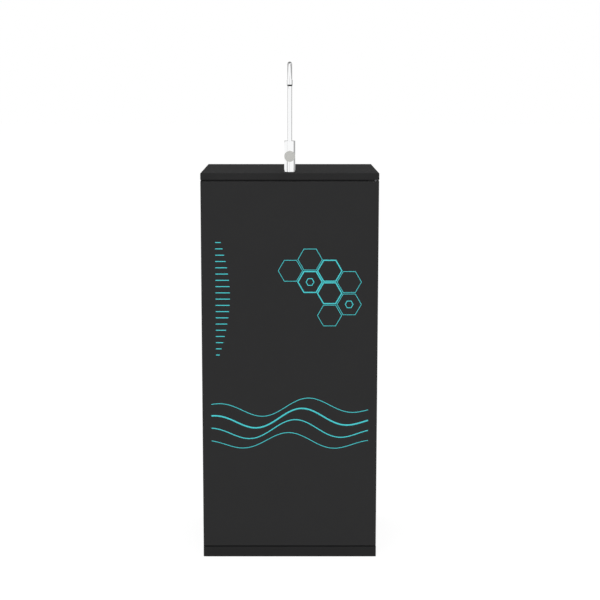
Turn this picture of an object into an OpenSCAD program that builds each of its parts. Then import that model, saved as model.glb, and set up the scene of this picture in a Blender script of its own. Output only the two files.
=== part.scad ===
// Reverse-osmosis water purifier: a floor-standing cabinet with a glass-faced door, a gooseneck tap
// on the lid, and the filters, booster pump and storage tank inside.
// Millimetres. +Z is up, the door faces -Y, and the origin is the middle of the base on the floor.

/* [Cabinet] */
// Width across the side panels
cabinet_w = 420; // [412:1:480]
// Depth from the door's face to the back panel
cabinet_d = 340; // [334:1:400]
// Height from the floor to the top of the lid
cabinet_h = 934; // [915:1:1000]
// Thickness of the folded sheet steel
sheet_t = 1.2; // [0.8:0.1:2]
// Width of the side panels' front flanges
front_flange = 24; // [22:1:30]
// Width of their other flanges
flange = 15; // [12:1:16]
// Radius of the cabinet's outside corners
corner_r = 3; // [1:0.5:6]
// Gap on the radius between pieces that are screwed or pressed together
fit = 0.1; // [0.05:0.05:0.2]
// Gap on the radius between pieces that turn
run = 0.05; // [0.02:0.01:0.1]

/* [Plinth and lid] */
// Height of the plinth
plinth_h = 25; // [21:1:40]
// Thickness of the plinth's deck
deck_t = 3; // [2:0.5:5]
// Wall thickness of the plinth and the lid
skirt_t = 3; // [2:0.5:5]
// Diameter of the rubber feet
foot_d = 36; // [24:1:50]
// Thickness of the rubber feet
foot_h = 6; // [4:0.5:8]
// Distance of the feet from the edges
foot_inset = 38; // [32:1:60]
// Height of the lid
lid_h = 16; // [14:1:24]
// Thickness of the lid's top
lid_top_t = 3.5; // [2.5:0.5:5]
// Radius of the lid's top edge
lid_edge_r = 2.5; // [1:0.5:2.5]
// Widest spacing of the moulded ribs
rib_pitch = 112; // [60:1:116]
// Thickness of the moulded ribs
rib_t = 2.5; // [1.5:0.5:4]

/* [Door] */
// Thickness of the door with its glass
door_t = 18; // [17:0.5:24]
// Thickness of the glass
glass_t = 4; // [3:0.5:4.5]
// Margin of the door panel around the glass
glass_inset = 1; // [0.5:0.5:3]
// Gap above the door
door_gap = 4; // [3:0.5:6]
// Gap below the door
foot_gap = 1; // [1:0.5:6]
// Gap between the door and the side panels
door_clear = 3; // [3:0.5:5]
// Thickness of the door panel's skin behind the glass
door_skin = 2.5; // [2:0.5:4]
// Width of the solid stile on the opening side
latch_stile = 50; // [48:1:70]
// Width of the solid rails at the top and bottom
door_rail = 26; // [24:1:40]
// Distance of the pivot from the door's face
pivot_setback = 9.5; // [9.5:0.1:10]
// Distance of the pivot from the door's edge
pivot_inset = 8; // [7:0.5:8]
// Diameter of the pivot pins
pin_d = 6; // [4:0.5:6]
// Length of pin that stands in the door and in the plinth or lid
pin_seat = 14; // [10:0.5:16]
// Outside diameter of the pivot bushes
bush_d = 9; // [8:0.5:9.5]
// Length of the pivot bushes
bush_l = 20; // [16:1:24]
// Thickness of the lip that closes the gap above the door
lip_t = 3; // [2:0.5:4]
// Length of the finger groove in the opening edge
groove_l = 120; // [80:5:200]
// Width of the door seals
seal_w = 8; // [5:0.5:9]

/* [Tap] */
// Distance of the tap's axis from the door's face
tap_setback = 40; // [32:1:60]
// Diameter of the tap body
tap_d = 26; // [24:0.5:32]
// Height of the tap body
tap_h = 72.5; // [66:0.5:90]
// Thickness of the gasket under the tap
gasket_t = 0.5; // [0.5:0.1:2]
// Height of the knob's axis above the lid
knob_z = 38; // [34:0.5:40]
// Diameter of the knob
knob_d = 25.5; // [20:0.5:30]
// Length of the knob without its cap
knob_l = 15; // [14:0.5:17]
// Diameter of the spout tube
spout_d = 11; // [9:0.5:12]
// Wall thickness of the spout tube
spout_wall = 1.5; // [1:0.1:2]
// Radius of the gooseneck's bend
spout_r = 60; // [50:1:80]
// Angle that the gooseneck turns through
spout_bend = 157; // [135:1:175]
// Height of the gooseneck above the lid
spout_top = 257; // [220:1:320]
// Depth of the spout's socket in the tap body
spout_seat = 24; // [20:1:26]
// Diameter of the nozzle
nozzle_d = 13; // [12:0.5:18]
// Length of the nozzle
nozzle_l = 12.5; // [10:0.5:15]
// Diameter of the threaded shank
shank_d = 12; // [10:0.5:13]
// Length of shank below the tap body
shank_l = 46; // [40:1:60]

/* [Filter bank] */
// Distance of the shelf's underside below the lid
shelf_drop = 163; // [160:1:175]
// Thickness of the shelf
shelf_t = 2; // [1.5:0.5:3]
// Height of the shelf's folded edges
shelf_lip = 20; // [12:1:26]
// Distance of the shelf from the door's face
shelf_setback = 29; // [27:1:32]
// Distance of the filter heads' axes from the door's face
filter_setback = 86; // [84:1:92]
// Spacing of the filters
filter_pitch = 112; // [110:0.5:114]
// Diameter of the filter heads
head_d = 100; // [96:1:102]
// Height of the filter heads
head_h = 45; // [40:1:55]
// Diameter of the bowls
bowl_d = 94; // [88:1:96]
// Length of the bowls
bowl_h = 270; // [255:1:280]
// Wall thickness of the bowls
bowl_wall = 3.5; // [2.5:0.5:5]
// Diameter of the bowls' screw collars
collar_d = 105; // [102:0.5:106]
// Height of the screw collars
collar_h = 24; // [20:1:30]
// Diameter of the filter cartridges
cartridge_d = 62; // [50:1:70]

/* [Membrane and post filters] */
// Height of the cartridges' axes above the shelf
rack_lift = 38; // [37:1:45]
// Distance of the membrane vessel's axis from the back
vessel_back = 50; // [48:1:54]
// Diameter of the membrane vessel
vessel_d = 64; // [58:1:66]
// Length of the bosses at the vessel's ends
vessel_boss_l = 27; // [24:1:32]
// Diameter of the post filters
post_d = 52; // [48:1:53]
// Length of the post filters
post_l = 280; // [240:5:290]
// Spacing of the post filters
post_pitch = 58; // [58:0.5:61]
// Distance of the holding clips from the middle
clip_x = 85; // [70:1:100]
// Thickness of the clips
clip_t = 2.5; // [2:0.1:2.6]
// Width of the clips
clip_w = 14; // [10:1:20]

/* [Tank] */
// Diameter of the storage tank
tank_d = 244; // [230:1:250]
// Height of the storage tank
tank_h = 330; // [300:1:340]
// Gap between the tank's middle band and the left panel
tank_gap = 9.8; // [4:0.1:12]
// Distance of the tank's axis from the back
tank_back = 155; // [140:1:160]
// Wall thickness of the tank
tank_wall = 3; // [2:0.5:4]
// Radius of the tank's shoulders
tank_shoulder = 58; // [40:1:60]
// Height of the tank's stand
stand_h = 18; // [14:1:24]

/* [Pump and electrics] */
// Gap between the pump head and the right panel
pump_gap = 36.8; // [33:0.1:42]
// Distance of the pump's ports from the door's face
pump_setback = 142; // [138:1:150]
// Diameter of the pump head
pump_d = 90; // [80:1:92]
// Diameter of the pump motor
motor_d = 62; // [54:1:70]
// Length of the pump motor
motor_l = 96; // [80:1:110]
// Spacing of the pump's ports
pump_ports = 44; // [40:1:46]
// Height of the rubber mounts
mount_h = 8; // [6:0.5:12]
// Gap between the power supply and the right panel
supply_gap = 118.8; // [110:0.1:125]
// Width of the power supply
supply_w = 80; // [60:1:100]
// Height of the power supply
supply_h = 120; // [90:1:140]
// Depth of the power supply
supply_d = 40; // [30:1:50]
// Diameter of the low-voltage cables
cable_d = 4; // [3:0.5:6]

/* [Tubing] */
// Outside diameter of the water tubes
tube_d = 6.35; // [6:0.05:6.5]
// Bend radius of the tubes
tube_bend = 20; // [18:0.5:21]
// Distance of the upright tubes from the side panels
line_gap = 15.8; // [14:0.1:18]
// Diameter of the push-fit bodies
port_d = 13; // [12:0.5:14]
// Depth of a push-fit socket
socket_l = 9; // [8:0.5:12]
// Diameter of the filter ports' threads
thread_d = 12; // [10:0.5:12]
// Diameter of the tubes that plug into the back panel's connectors
supply_tube_d = 9.5; // [8:0.1:10]
// Outside diameter of the back panel's connectors
connector_d = 17; // [15:0.5:18]
// Length that the connectors stand out from the back panel
connector_l = 18; // [14:0.5:24]
// Depth of the connectors' sockets
connector_socket = 15; // [10:0.5:16]

/* [Hidden] */
$fn = 64;

black = [0.09, 0.09, 0.1];
dark_glass = [0.13, 0.13, 0.14];
steel = [0.62, 0.63, 0.65];
chrome = [0.85, 0.86, 0.88];
grey = [0.7, 0.7, 0.68];
white = [0.92, 0.92, 0.9];
rubber = [0.05, 0.05, 0.05];
brass = [0.72, 0.58, 0.3];
blue = [0.15, 0.4, 0.75];
clear = [0.75, 0.85, 0.9];

side_x = cabinet_w / 2;
wall_x = side_x - sheet_t;
front_y = -cabinet_d / 2;
rear_y = cabinet_d / 2;
back_y = rear_y - sheet_t;
panel_y = front_y + door_t + door_clear;
lid_z = cabinet_h - lid_h;
panel_h = lid_z - plinth_h;
inner_w = cabinet_w - 2 * skirt_t;
inner_d = cabinet_d - 2 * skirt_t;
under_h = plinth_h - foot_h - deck_t;
foot_x = side_x - foot_inset;
foot_y = rear_y - foot_inset;

door_z = plinth_h + foot_gap;
door_h = lid_z - door_gap - door_z;
door_back = front_y + door_t;
pivot_x = side_x - pivot_inset;
pivot_y = front_y + pivot_setback;
pivot_boss_d = 14;
hinge_stile = 14;
lip_gap = 0.8;
lip_l = cabinet_w - corner_r - 2 * pivot_inset - bush_d;
glass_w = cabinet_w - 2 * glass_inset;
glass_h = door_h - 2 * glass_inset;
seal_x = side_x - front_flange + seal_w / 2 + 1;
catch_x = side_x - front_flange - 10;
catch_w = 19;
catch_d = 22;
catch_h = 46;
ear_w = 17;
ear_t = 3;
catch_z = [door_z + door_h / 4, door_z + door_h * 3 / 4];
strike_w = 20;
strike_t = 1.5;
strike_gap = 0.3;

screw_d = 4;
screw_head_d = 7.5;
screw_head_h = 2.4;
screw_l = 10;
screw_boss_d = 9;
case_screw_x = wall_x - flange / 2;
case_screw_y = [panel_y + 40, rear_y - 40];
back_screws = 5;
back_screw_x = wall_x - flange / 2;
back_screw_step = (panel_h - 60) / (back_screws - 1);

tap_y = front_y + tap_setback;
tap_base = cabinet_h + gasket_t;
tap_top = tap_base + tap_h;
tap_boss_d = 46;
tap_boss_h = 7;
knob_at = cabinet_h + knob_z;
knob_gap = 1.5;
knob_back = tap_y - tap_d / 2 - knob_gap;
cap_t = 1.6;
cap_spigot_d = 12;
cap_spigot_l = 3;
valve_d = 16;
valve_l = 17;
stem_d = 6;
stem_seat = 10;
stem_in_knob = 9;
o_ring = 2;
nozzle_lip = 1.5;
nozzle_bore = 9.6;
nozzle_gap = 0.1;
tip_d = spout_d - 1;
tip_bore = spout_d - 2 * spout_wall + 0.4;
tip_sink = 0.3;
arch_z = cabinet_h + spout_top - spout_d / 2 - spout_r;
spout_id = spout_d - 2 * spout_wall;
riser_z = tap_top - spout_seat;
washer_t = 2.5;
nut_w = 22;
nut_h = 8;
shank_in = 9;
shank_end = tap_base - shank_l;
nut_z = lid_z + lid_h - tap_boss_h - washer_t - nut_h;

shelf_z = lid_z - shelf_drop;
shelf_y = front_y + shelf_setback;
shelf_d = back_y - shelf_y - 10;
shelf_top = shelf_z + shelf_t;
rack_z = shelf_top + rack_lift;
filter_y = front_y + filter_setback;
head_pad_h = 8;
port_drop = 28;
port_z = shelf_z - port_drop;
port_seat = 12;
rim_z = shelf_z - head_h;
skirt_l = 20;
skirt_d = bowl_d - 2;
skirt_in = skirt_d - 12;
spigot_d = 26;
spigot_l = 22;
cartridge_bore = 28;
locator_h = 3.5;
bowl_floor = rim_z - bowl_h + bowl_wall;
cartridge_h = rim_z - 13 - bowl_floor - locator_h;
grip_ribs = 24;
bowl_ribs = 16;
nipple_hex = 16;
elbow_off = 13;
elbow_d = 16;
feed_x = filter_pitch + head_d / 2 + elbow_off;
elbow_l = 18;

line_x = wall_x - line_gap;
vessel_y = rear_y - vessel_back;
post_y = [for (i = [0 : 2]) vessel_y - vessel_d / 2 - post_d / 2 - 7 - i * post_pitch];
post_mouth = line_x - tube_bend - 3;
vessel_end = 6;
vessel_wall = 4;
vessel_cap_l = 30;
vessel_cap_d = vessel_d + 8;
vessel_boss = line_x - elbow_d / 2 - 8;
vessel_l = 2 * (vessel_boss - vessel_boss_l);
waste_x = 20 - vessel_l / 2;
waste_mouth = shelf_z - 10;

tank_band_t = 2;
tank_band_h = 12;
tank_x = -wall_x + tank_gap + tank_band_t + tank_d / 2;
tank_y = rear_y - tank_back;
tank_z = plinth_h + stand_h;
tank_top = tank_z + tank_h;
tank_neck_h = 12;
valve_at = tank_top + 36;
tank_port_y = tank_y + 24;
lever_y = tank_y - 15;
lever_l = 34;

pump_x = wall_x - pump_gap - pump_d / 2;
pump_y = front_y + pump_setback;
plate_t = 2;
pump_head_l = 48;
pump_z = plinth_h + mount_h + plate_t + 46;
pump_mouth = pump_z + pump_d / 2 + 14;
motor_y = pump_y + pump_head_l / 2;
mount_x = 30;
mount_y = [motor_y + 8, motor_y + motor_l - 8];
plate_w = 2 * mount_x + 24;
saddle_w = 44;
saddle_l = 14;
saddle_h = 26;
saddle_y = [motor_y + 23, motor_y + motor_l - 23];

tube_in = socket_l - 0.2;
switch_l = 38;
switch_d = 24;
low_switch_z = [port_z - 57 - switch_l, port_z - 57];
low_switch_y = filter_y + 55;
high_switch_z = [shelf_z - 52 - switch_l, shelf_z - 52];
feed_z = low_switch_z[0] - 62;
drain_z = feed_z - 60;
restrictor_l = 48;
restrictor_d = 15;
restrictor_z = [drain_z + 120, drain_z + 120 + restrictor_l];
tee_l = 32;
tee_z = valve_at + 48;
suction_z = pump_mouth + 190;
delivery_z = pump_mouth + 330;
collar_t = 4;
bulkhead_in = 24;
bulkhead_mouth = back_y - bulkhead_in;
solenoid_l = 38;
solenoid_y = [bulkhead_mouth - 24 - solenoid_l, bulkhead_mouth - 24];
coil_y = (solenoid_y[0] + solenoid_y[1]) / 2;
coil_top = 44;
coil_w = 22;

supply_x = wall_x - supply_gap - supply_w;
supply_z = feed_z - 10;
grommet_x = supply_x + supply_w / 2;
grommet_z = supply_z - 40;
grommet_d = 8;
cable_bend = 15;
cable_y = back_y - 14;
lead_z = feed_z + coil_top + 36;

function unit(v) = v / norm(v);

module rounded_rect(w, d, r) {
    square([w - 2 * r, d], center = true);
    square([w, d - 2 * r], center = true);
    for (x = [-1, 1], y = [-1, 1])
        translate([x * (w / 2 - r), y * (d / 2 - r)])
            circle(r);
}

// Outline of a block seen from the side, with its two upper corners rounded
module rounded_top(w, h, r) {
    translate([-w / 2, 0])
        square([w, h - r]);
    translate([-w / 2 + r, 0])
        square([w - 2 * r, h]);
    for (x = [-1, 1])
        translate([x * (w / 2 - r), h - r])
            circle(r);
}

// Block standing on z = 0 with rounded corners and a rounded upper edge
module soft_block(w, d, h, r, edge_r) {
    intersection() {
        linear_extrude(h)
            rounded_rect(w, d, r);
        rotate([90, 0, 0])
            linear_extrude(d, center = true)
                rounded_top(w, h, edge_r);
        rotate([90, 0, 90])
            linear_extrude(w, center = true)
                rounded_top(d, h, edge_r);
    }
}

// Grid of pockets that leaves moulded ribs standing between them
module pockets(w, d, h) {
    nx = ceil(w / rib_pitch);
    ny = ceil(d / rib_pitch);
    step_x = (w + rib_t) / nx;
    step_y = (d + rib_t) / ny;
    for (i = [0 : nx - 1], j = [0 : ny - 1])
        translate([-w / 2 + i * step_x, -d / 2 + j * step_y, 0])
            cube([step_x - rib_t, step_y - rib_t, h]);
}

module ring(d_out, d_in, h) {
    difference() {
        cylinder(d = d_out, h = h);
        translate([0, 0, -1])
            cylinder(d = d_in, h = h + 2);
    }
}

// Turns +Z to the given direction
module toward(v) {
    rotate([0, acos(v.z / norm(v)), atan2(v.y, v.x)])
        children();
}

// Tube along straight legs that meet at right angles, with a bend at each corner
module tube_run(points, d, bend) {
    last = len(points) - 1;
    for (i = [0 : last - 1]) {
        leg = points[i + 1] - points[i];
        start = i > 0 ? bend : 0;
        end = i < last - 1 ? bend : 0;
        if (norm(leg) - start - end > 0.01)
            translate(points[i] + start * unit(leg))
                toward(leg)
                    cylinder(d = d, h = norm(leg) - start - end);
    }
    for (i = [1 : 1 : last - 1]) {
        u = unit(points[i] - points[i - 1]);
        v = unit(points[i + 1] - points[i]);
        w = cross(-v, u);
        c = points[i] + bend * (v - u);
        multmatrix([[-v.x, u.x, w.x, c.x], [-v.y, u.y, w.y, c.y], [-v.z, u.z, w.z, c.z], [0, 0, 0, 1]])
            rotate_extrude(angle = 90)
                translate([bend, 0])
                    circle(d = d);
    }
}

module water_tube(points) {
    tube_run(points, tube_d, tube_bend);
}

// Push-fit body along +Z whose socket opens at z = l
module push_port(l, socket = socket_l) {
    difference() {
        union() {
            cylinder(d = port_d, h = l - 3);
            cylinder(d = port_d - 3, h = l);
        }
        translate([0, 0, l - socket])
            cylinder(d = tube_d + 2 * fit, h = socket + 1);
    }
}

// Elbow with its threaded stem along +Z from the bend and its socket along v
module elbow(stem, v) {
    cylinder(d = thread_d, h = stem);
    sphere(d = elbow_d);
    toward(v)
        push_port(elbow_l);
}

// Pan-head screw pointing down, with the underside of its head at z = 0
module screw(l) {
    cylinder(d = screw_head_d, h = screw_head_h);
    translate([0, 0, -l])
        cylinder(d = screw_d, h = l);
}

module at_case_screws() {
    for (x = [-1, 1], y = case_screw_y)
        translate([x * case_screw_x, y, 0])
            children();
}

module at_back_screws() {
    for (x = [-1, 1], i = [0 : back_screws - 1])
        translate([x * back_screw_x, rear_y, plinth_h + 30 + i * back_screw_step])
            children();
}

module at_pivot(z) {
    translate([pivot_x, pivot_y, z])
        children();
}

module at_tap(z) {
    translate([0, tap_y, z])
        children();
}

module at_filter(i, z) {
    translate([i * filter_pitch, filter_y, z])
        children();
}

module base_tray() {
    color(black)
        difference() {
            union() {
                difference() {
                    linear_extrude(plinth_h)
                        rounded_rect(cabinet_w, cabinet_d, corner_r);
                    translate([-inner_w / 2, -inner_d / 2, -1])
                        cube([inner_w, inner_d, foot_h + 1]);
                    translate([0, 0, foot_h])
                        pockets(inner_w, inner_d, under_h);
                }
                for (x = [-1, 1], y = [-1, 1])
                    translate([x * foot_x, y * foot_y, foot_h])
                        cylinder(d = foot_d + 4, h = under_h + 1);
                at_pivot(foot_h)
                    cylinder(d = pivot_boss_d, h = under_h + 1);
                at_case_screws()
                    translate([0, 0, foot_h])
                        cylinder(d = screw_boss_d, h = under_h + 1);
            }
            at_pivot(plinth_h - pin_seat)
                cylinder(d = pin_d + 2 * fit, h = pin_seat + 1);
            at_case_screws()
                translate([0, 0, plinth_h - screw_l])
                    cylinder(d = screw_d + 2 * fit, h = screw_l + 1);
        }
}

module rubber_feet() {
    color(rubber)
        for (x = [-1, 1], y = [-1, 1])
            translate([x * foot_x, y * foot_y, 0])
                cylinder(d = foot_d, h = foot_h);
}

// Right-hand panel: a sheet with flanges folded in along all four edges
module side_panel() {
    color(black)
        difference() {
            union() {
                translate([wall_x, panel_y, plinth_h])
                    cube([sheet_t, rear_y - panel_y, panel_h]);
                translate([side_x - front_flange, panel_y, plinth_h])
                    cube([front_flange, sheet_t, panel_h]);
                translate([wall_x - flange, back_y - sheet_t, plinth_h])
                    cube([flange, sheet_t, panel_h]);
                for (z = [plinth_h, lid_z - sheet_t])
                    translate([wall_x - flange, panel_y, z])
                        cube([flange, back_y - panel_y, sheet_t]);
            }
            at_case_screws()
                translate([0, 0, plinth_h - 1])
                    cylinder(d = screw_d + 4 * fit, h = panel_h + 2);
            at_back_screws()
                rotate([90, 0, 0])
                    translate([0, 0, -1])
                        cylinder(d = screw_d + 2 * fit, h = 8);
        }
}

module left_panel() {
    mirror([1, 0, 0])
        side_panel();
}

module right_panel() {
    side_panel();
}

module vent_slot(l, w) {
    square([l - w, w], center = true);
    for (x = [-1, 1])
        translate([x * (l - w) / 2, 0])
            circle(d = w);
}

module back_panel() {
    edge = wall_x - 0.5;
    color(black)
        difference() {
            translate([-edge, back_y, plinth_h + 0.5])
                cube([2 * edge, sheet_t, panel_h - 1]);
            for (x = [-75, 75], z = [plinth_h + 60, lid_z - 130], i = [0 : 6])
                translate([x, back_y, z + i * 13])
                    rotate([-90, 0, 0])
                        translate([0, 0, -1])
                            linear_extrude(sheet_t + 2)
                                vent_slot(90, 5);
            for (p = [[-feed_x, feed_z], [waste_x, drain_z], [grommet_x, grommet_z]])
                translate([p.x, back_y - 1, p.y])
                    rotate([-90, 0, 0])
                        cylinder(d = port_d + 2 * fit, h = sheet_t + 2);
            at_back_screws()
                rotate([90, 0, 0])
                    translate([0, 0, -1])
                        cylinder(d = screw_d + 4 * fit, h = 8);
        }
}

module lid() {
    color(black)
        difference() {
            union() {
                difference() {
                    translate([0, 0, lid_z])
                        soft_block(cabinet_w, cabinet_d, lid_h, corner_r, lid_edge_r);
                    translate([0, 0, lid_z - 1])
                        pockets(inner_w, inner_d, lid_h - lid_top_t + 1);
                }
                at_tap(cabinet_h - tap_boss_h)
                    cylinder(d = tap_boss_d, h = tap_boss_h - 1);
                at_pivot(lid_z)
                    cylinder(d = pivot_boss_d, h = lid_h - 1);
                at_case_screws()
                    translate([0, 0, lid_z])
                        cylinder(d = screw_boss_d, h = lid_h - 1);
            }
            at_tap(lid_z - 1)
                cylinder(d = tap_boss_d - 6, h = lid_h - tap_boss_h + 1);
            at_tap(lid_z)
                cylinder(d = shank_d + 4 * fit, h = lid_h + 1);
            at_pivot(lid_z - 1)
                cylinder(d = pin_d + 2 * fit, h = pin_seat - 1);
            at_case_screws()
                translate([0, 0, lid_z - 1])
                    cylinder(d = screw_d + 2 * fit, h = screw_l + 1);
        }
}

module pivot_pins() {
    color(steel) {
        at_pivot(plinth_h - pin_seat)
            cylinder(d = pin_d, h = foot_gap + 2 * pin_seat);
        at_pivot(lid_z - door_gap - pin_seat)
            cylinder(d = pin_d, h = door_gap + 2 * pin_seat - 2);
    }
}

module door_seals() {
    color(rubber)
        for (x = [-1, 1])
            translate([x * seal_x - seal_w / 2, door_back + strike_gap, door_z + 20])
                cube([seal_w, door_clear - strike_gap, door_h - 40]);
}

// Magnet block beside the left flange, with an ear screwed to the back of the flange
module magnet_catches() {
    face = door_back + strike_t / 2 + strike_gap;
    color(grey)
        for (z = catch_z) {
            translate([-catch_x - catch_w / 2, face, z - catch_h / 2])
                cube([catch_w, catch_d, catch_h]);
            translate([-catch_x - catch_w / 2 - ear_w + 0.5, panel_y + sheet_t, z - catch_h / 2])
                cube([ear_w, ear_t, catch_h]);
        }
}

// Screws through the side panels' flanges into the plinth and lid, and through the back panel
module screws() {
    color(steel) {
        at_case_screws() {
            translate([0, 0, plinth_h + sheet_t])
                screw(screw_l);
            translate([0, 0, lid_z - sheet_t])
                mirror([0, 0, 1])
                    screw(screw_l);
        }
        at_back_screws()
            rotate([-90, 0, 0])
                screw(6);
    }
}

module door_glass() {
    color(dark_glass)
        translate([0, front_y + glass_t, door_z + door_h / 2])
            rotate([90, 0, 0])
                soft_block(glass_w, glass_h, glass_t, corner_r, 1.5);
}

// Section of the door panel, rounded about the pivot at its hinge edge
module door_section() {
    translate([-side_x, front_y + glass_t])
        square([side_x + pivot_x, door_t - glass_t]);
    intersection() {
        translate([pivot_x, pivot_y])
            circle(r = pivot_inset);
        translate([pivot_x - 1, front_y + glass_t])
            square([pivot_inset + 2, door_t]);
    }
}

module door_panel() {
    pocket_l = -side_x + latch_stile;
    pocket_r = pivot_x - hinge_stile;
    pocket_h = door_h - 2 * door_rail;
    color(black)
        difference() {
            union() {
                translate([0, 0, door_z])
                    linear_extrude(door_h)
                        door_section();
                translate([-side_x + corner_r, door_back - lip_t, door_z])
                    cube([lip_l, lip_t, door_h + door_gap - lip_gap]);
            }
            translate([(pocket_l + pocket_r) / 2, front_y + glass_t + door_skin, door_z + door_h / 2])
                rotate([-90, 0, 0])
                    pockets(pocket_r - pocket_l, pocket_h, door_t);
            for (z = [door_z - 1, door_z + door_h - bush_l])
                at_pivot(z)
                    cylinder(d = bush_d + 2 * fit, h = bush_l + 1);
            for (z = catch_z)
                translate([-catch_x - strike_w / 2 - fit, door_back - strike_t / 2, z - catch_h / 2 - fit])
                    cube([strike_w + 2 * fit, strike_t, catch_h + 2 * fit]);
            translate([-side_x, door_back - 2, door_z + door_h / 2 - groove_l / 2])
                cylinder(r = 9, h = groove_l);
        }
}

module pivot_bushes() {
    color(white)
        for (z = [door_z, door_z + door_h - bush_l])
            at_pivot(z)
                ring(bush_d, pin_d + 2 * run, bush_l);
}

module strike_plates() {
    color(steel)
        for (z = catch_z)
            translate([-catch_x - strike_w / 2, door_back - strike_t / 2, z - catch_h / 2])
                cube([strike_w, strike_t, catch_h]);
}

module tap_gasket() {
    color(rubber)
        at_tap(cabinet_h)
            ring(tap_d - 2, shank_d + 4 * fit, gasket_t);
}

module at_knob(y) {
    translate([0, y, knob_at])
        rotate([-90, 0, 0])
            children();
}

module at_spout_seals() {
    for (z = [riser_z + 6, riser_z + 13])
        at_tap(z)
            children();
}

module tap_body() {
    bore_d = spout_d + 2 * run;
    color(chrome)
        difference() {
            at_tap(tap_base)
                rotate_extrude()
                    intersection() {
                        translate([tap_d / 2, 0])
                            mirror([1, 0])
                                square([tap_d / 2, tap_h]);
                        union() {
                            square([tap_d / 2, tap_h - 0.8]);
                            square([tap_d / 2 - 0.8, tap_h]);
                            translate([tap_d / 2 - 0.8, tap_h - 0.8])
                                circle(r = 0.8);
                        }
                    }
            at_tap(riser_z)
                cylinder(d = bore_d, h = spout_seat + 1);
            at_spout_seals()
                translate([0, 0, -o_ring / 2 - fit])
                    cylinder(d = spout_d + 2 * o_ring + 6 * fit, h = o_ring + 2 * fit);
            at_tap(tap_base - 1)
                cylinder(d = spout_id, h = riser_z - tap_base + 2);
            at_tap(tap_base - 1)
                cylinder(d = shank_d + 2 * fit, h = shank_in + 1);
            at_knob(tap_y - tap_d / 2 - 1)
                cylinder(d = valve_d + 2 * fit, h = valve_l);
        }
}

// Threaded stud with the waterway through it
module tap_shank() {
    color(brass)
        at_tap(shank_end)
            ring(shank_d, spout_id, shank_l + shank_in - 0.3);
}

module shank_washer() {
    color(rubber)
        at_tap(nut_z + nut_h)
            ring(30, shank_d + 4 * fit, washer_t);
}

module shank_nut() {
    color(brass)
        at_tap(nut_z)
            difference() {
                cylinder(d = nut_w / cos(30), h = nut_h, $fn = 6);
                translate([0, 0, -1])
                    cylinder(d = shank_d + 2 * fit, h = nut_h + 2);
            }
}

// Push-fit adapter screwed over the end of the shank
module tap_connector() {
    color(white)
        at_tap(shank_end)
            difference() {
                union() {
                    translate([0, 0, -8])
                        cylinder(d = shank_d + 6, h = 20);
                    mirror([0, 0, 1])
                        push_port(22);
                }
                cylinder(d = shank_d + 2 * fit, h = 21);
            }
}

module valve_cartridge() {
    color(brass)
        difference() {
            at_knob(tap_y - tap_d / 2 - 1)
                cylinder(d = valve_d, h = valve_l - 0.2);
            at_knob(tap_y - tap_d / 2 - 2)
                cylinder(d = stem_d + 2 * run, h = stem_seat + 1.3);
        }
}

module spout_seals() {
    color(rubber)
        at_spout_seals()
            rotate_extrude()
                translate([spout_d / 2 + run + o_ring / 2, 0])
                    circle(d = o_ring);
}

// Riser and bend drawn with the given diameter, the riser's foot longer by the given amount
module gooseneck(d, over) {
    at_tap(riser_z + 0.3 - over)
        cylinder(d = d, h = arch_z - riser_z - 0.3 + over);
    translate([0, tap_y - spout_r, arch_z])
        rotate([90, 0, 90])
            rotate_extrude(angle = spout_bend)
                translate([spout_r, 0])
                    circle(d = d);
}

// End of the bend, with +Z along the water jet
module at_spout_end(z) {
    translate([0, tap_y - spout_r + spout_r * cos(spout_bend), arch_z + spout_r * sin(spout_bend)])
        rotate([spout_bend, 0, 0])
            translate([0, 0, z])
                children();
}

// Bent tube whose tip is turned down to take the nozzle
module spout_tube() {
    color(chrome)
        difference() {
            union() {
                gooseneck(spout_d, 0);
                at_spout_end(-tip_sink)
                    cylinder(d = tip_d, h = nozzle_l - nozzle_lip - nozzle_gap + tip_sink);
            }
            gooseneck(spout_id, 1);
            at_spout_end(-tip_sink / 2)
                cylinder(d = tip_bore, h = nozzle_l);
        }
}

// Sleeve over the spout's tip with a lip around the outlet
module spout_nozzle() {
    color(chrome)
        at_spout_end(nozzle_gap)
            difference() {
                cylinder(d = nozzle_d, h = nozzle_l);
                translate([0, 0, -1])
                    cylinder(d = tip_d + 2 * fit, h = nozzle_l - nozzle_lip + 1);
                cylinder(d = nozzle_bore, h = nozzle_l + 1);
            }
}

module knob() {
    color(chrome)
        difference() {
            at_knob(knob_back - knob_l)
                cylinder(d = knob_d, h = knob_l);
            at_knob(knob_back - knob_l - 1)
                cylinder(d = cap_spigot_d + 2 * fit, h = cap_spigot_l + 1.2);
            at_knob(knob_back - stem_in_knob - 0.2)
                cylinder(d = stem_d + 2 * fit, h = stem_in_knob + 1);
        }
}

// Disc that covers the knob's face, held by a spigot in its middle
module knob_cap() {
    color(grey)
        at_knob(knob_back - knob_l - cap_t) {
            cylinder(d = knob_d, h = cap_t);
            cylinder(d = cap_spigot_d, h = cap_t + cap_spigot_l);
        }
}

module valve_stem() {
    color(brass)
        at_knob(knob_back - stem_in_knob)
            cylinder(d = stem_d, h = stem_in_knob + knob_gap - 1 + stem_seat);
}

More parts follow.
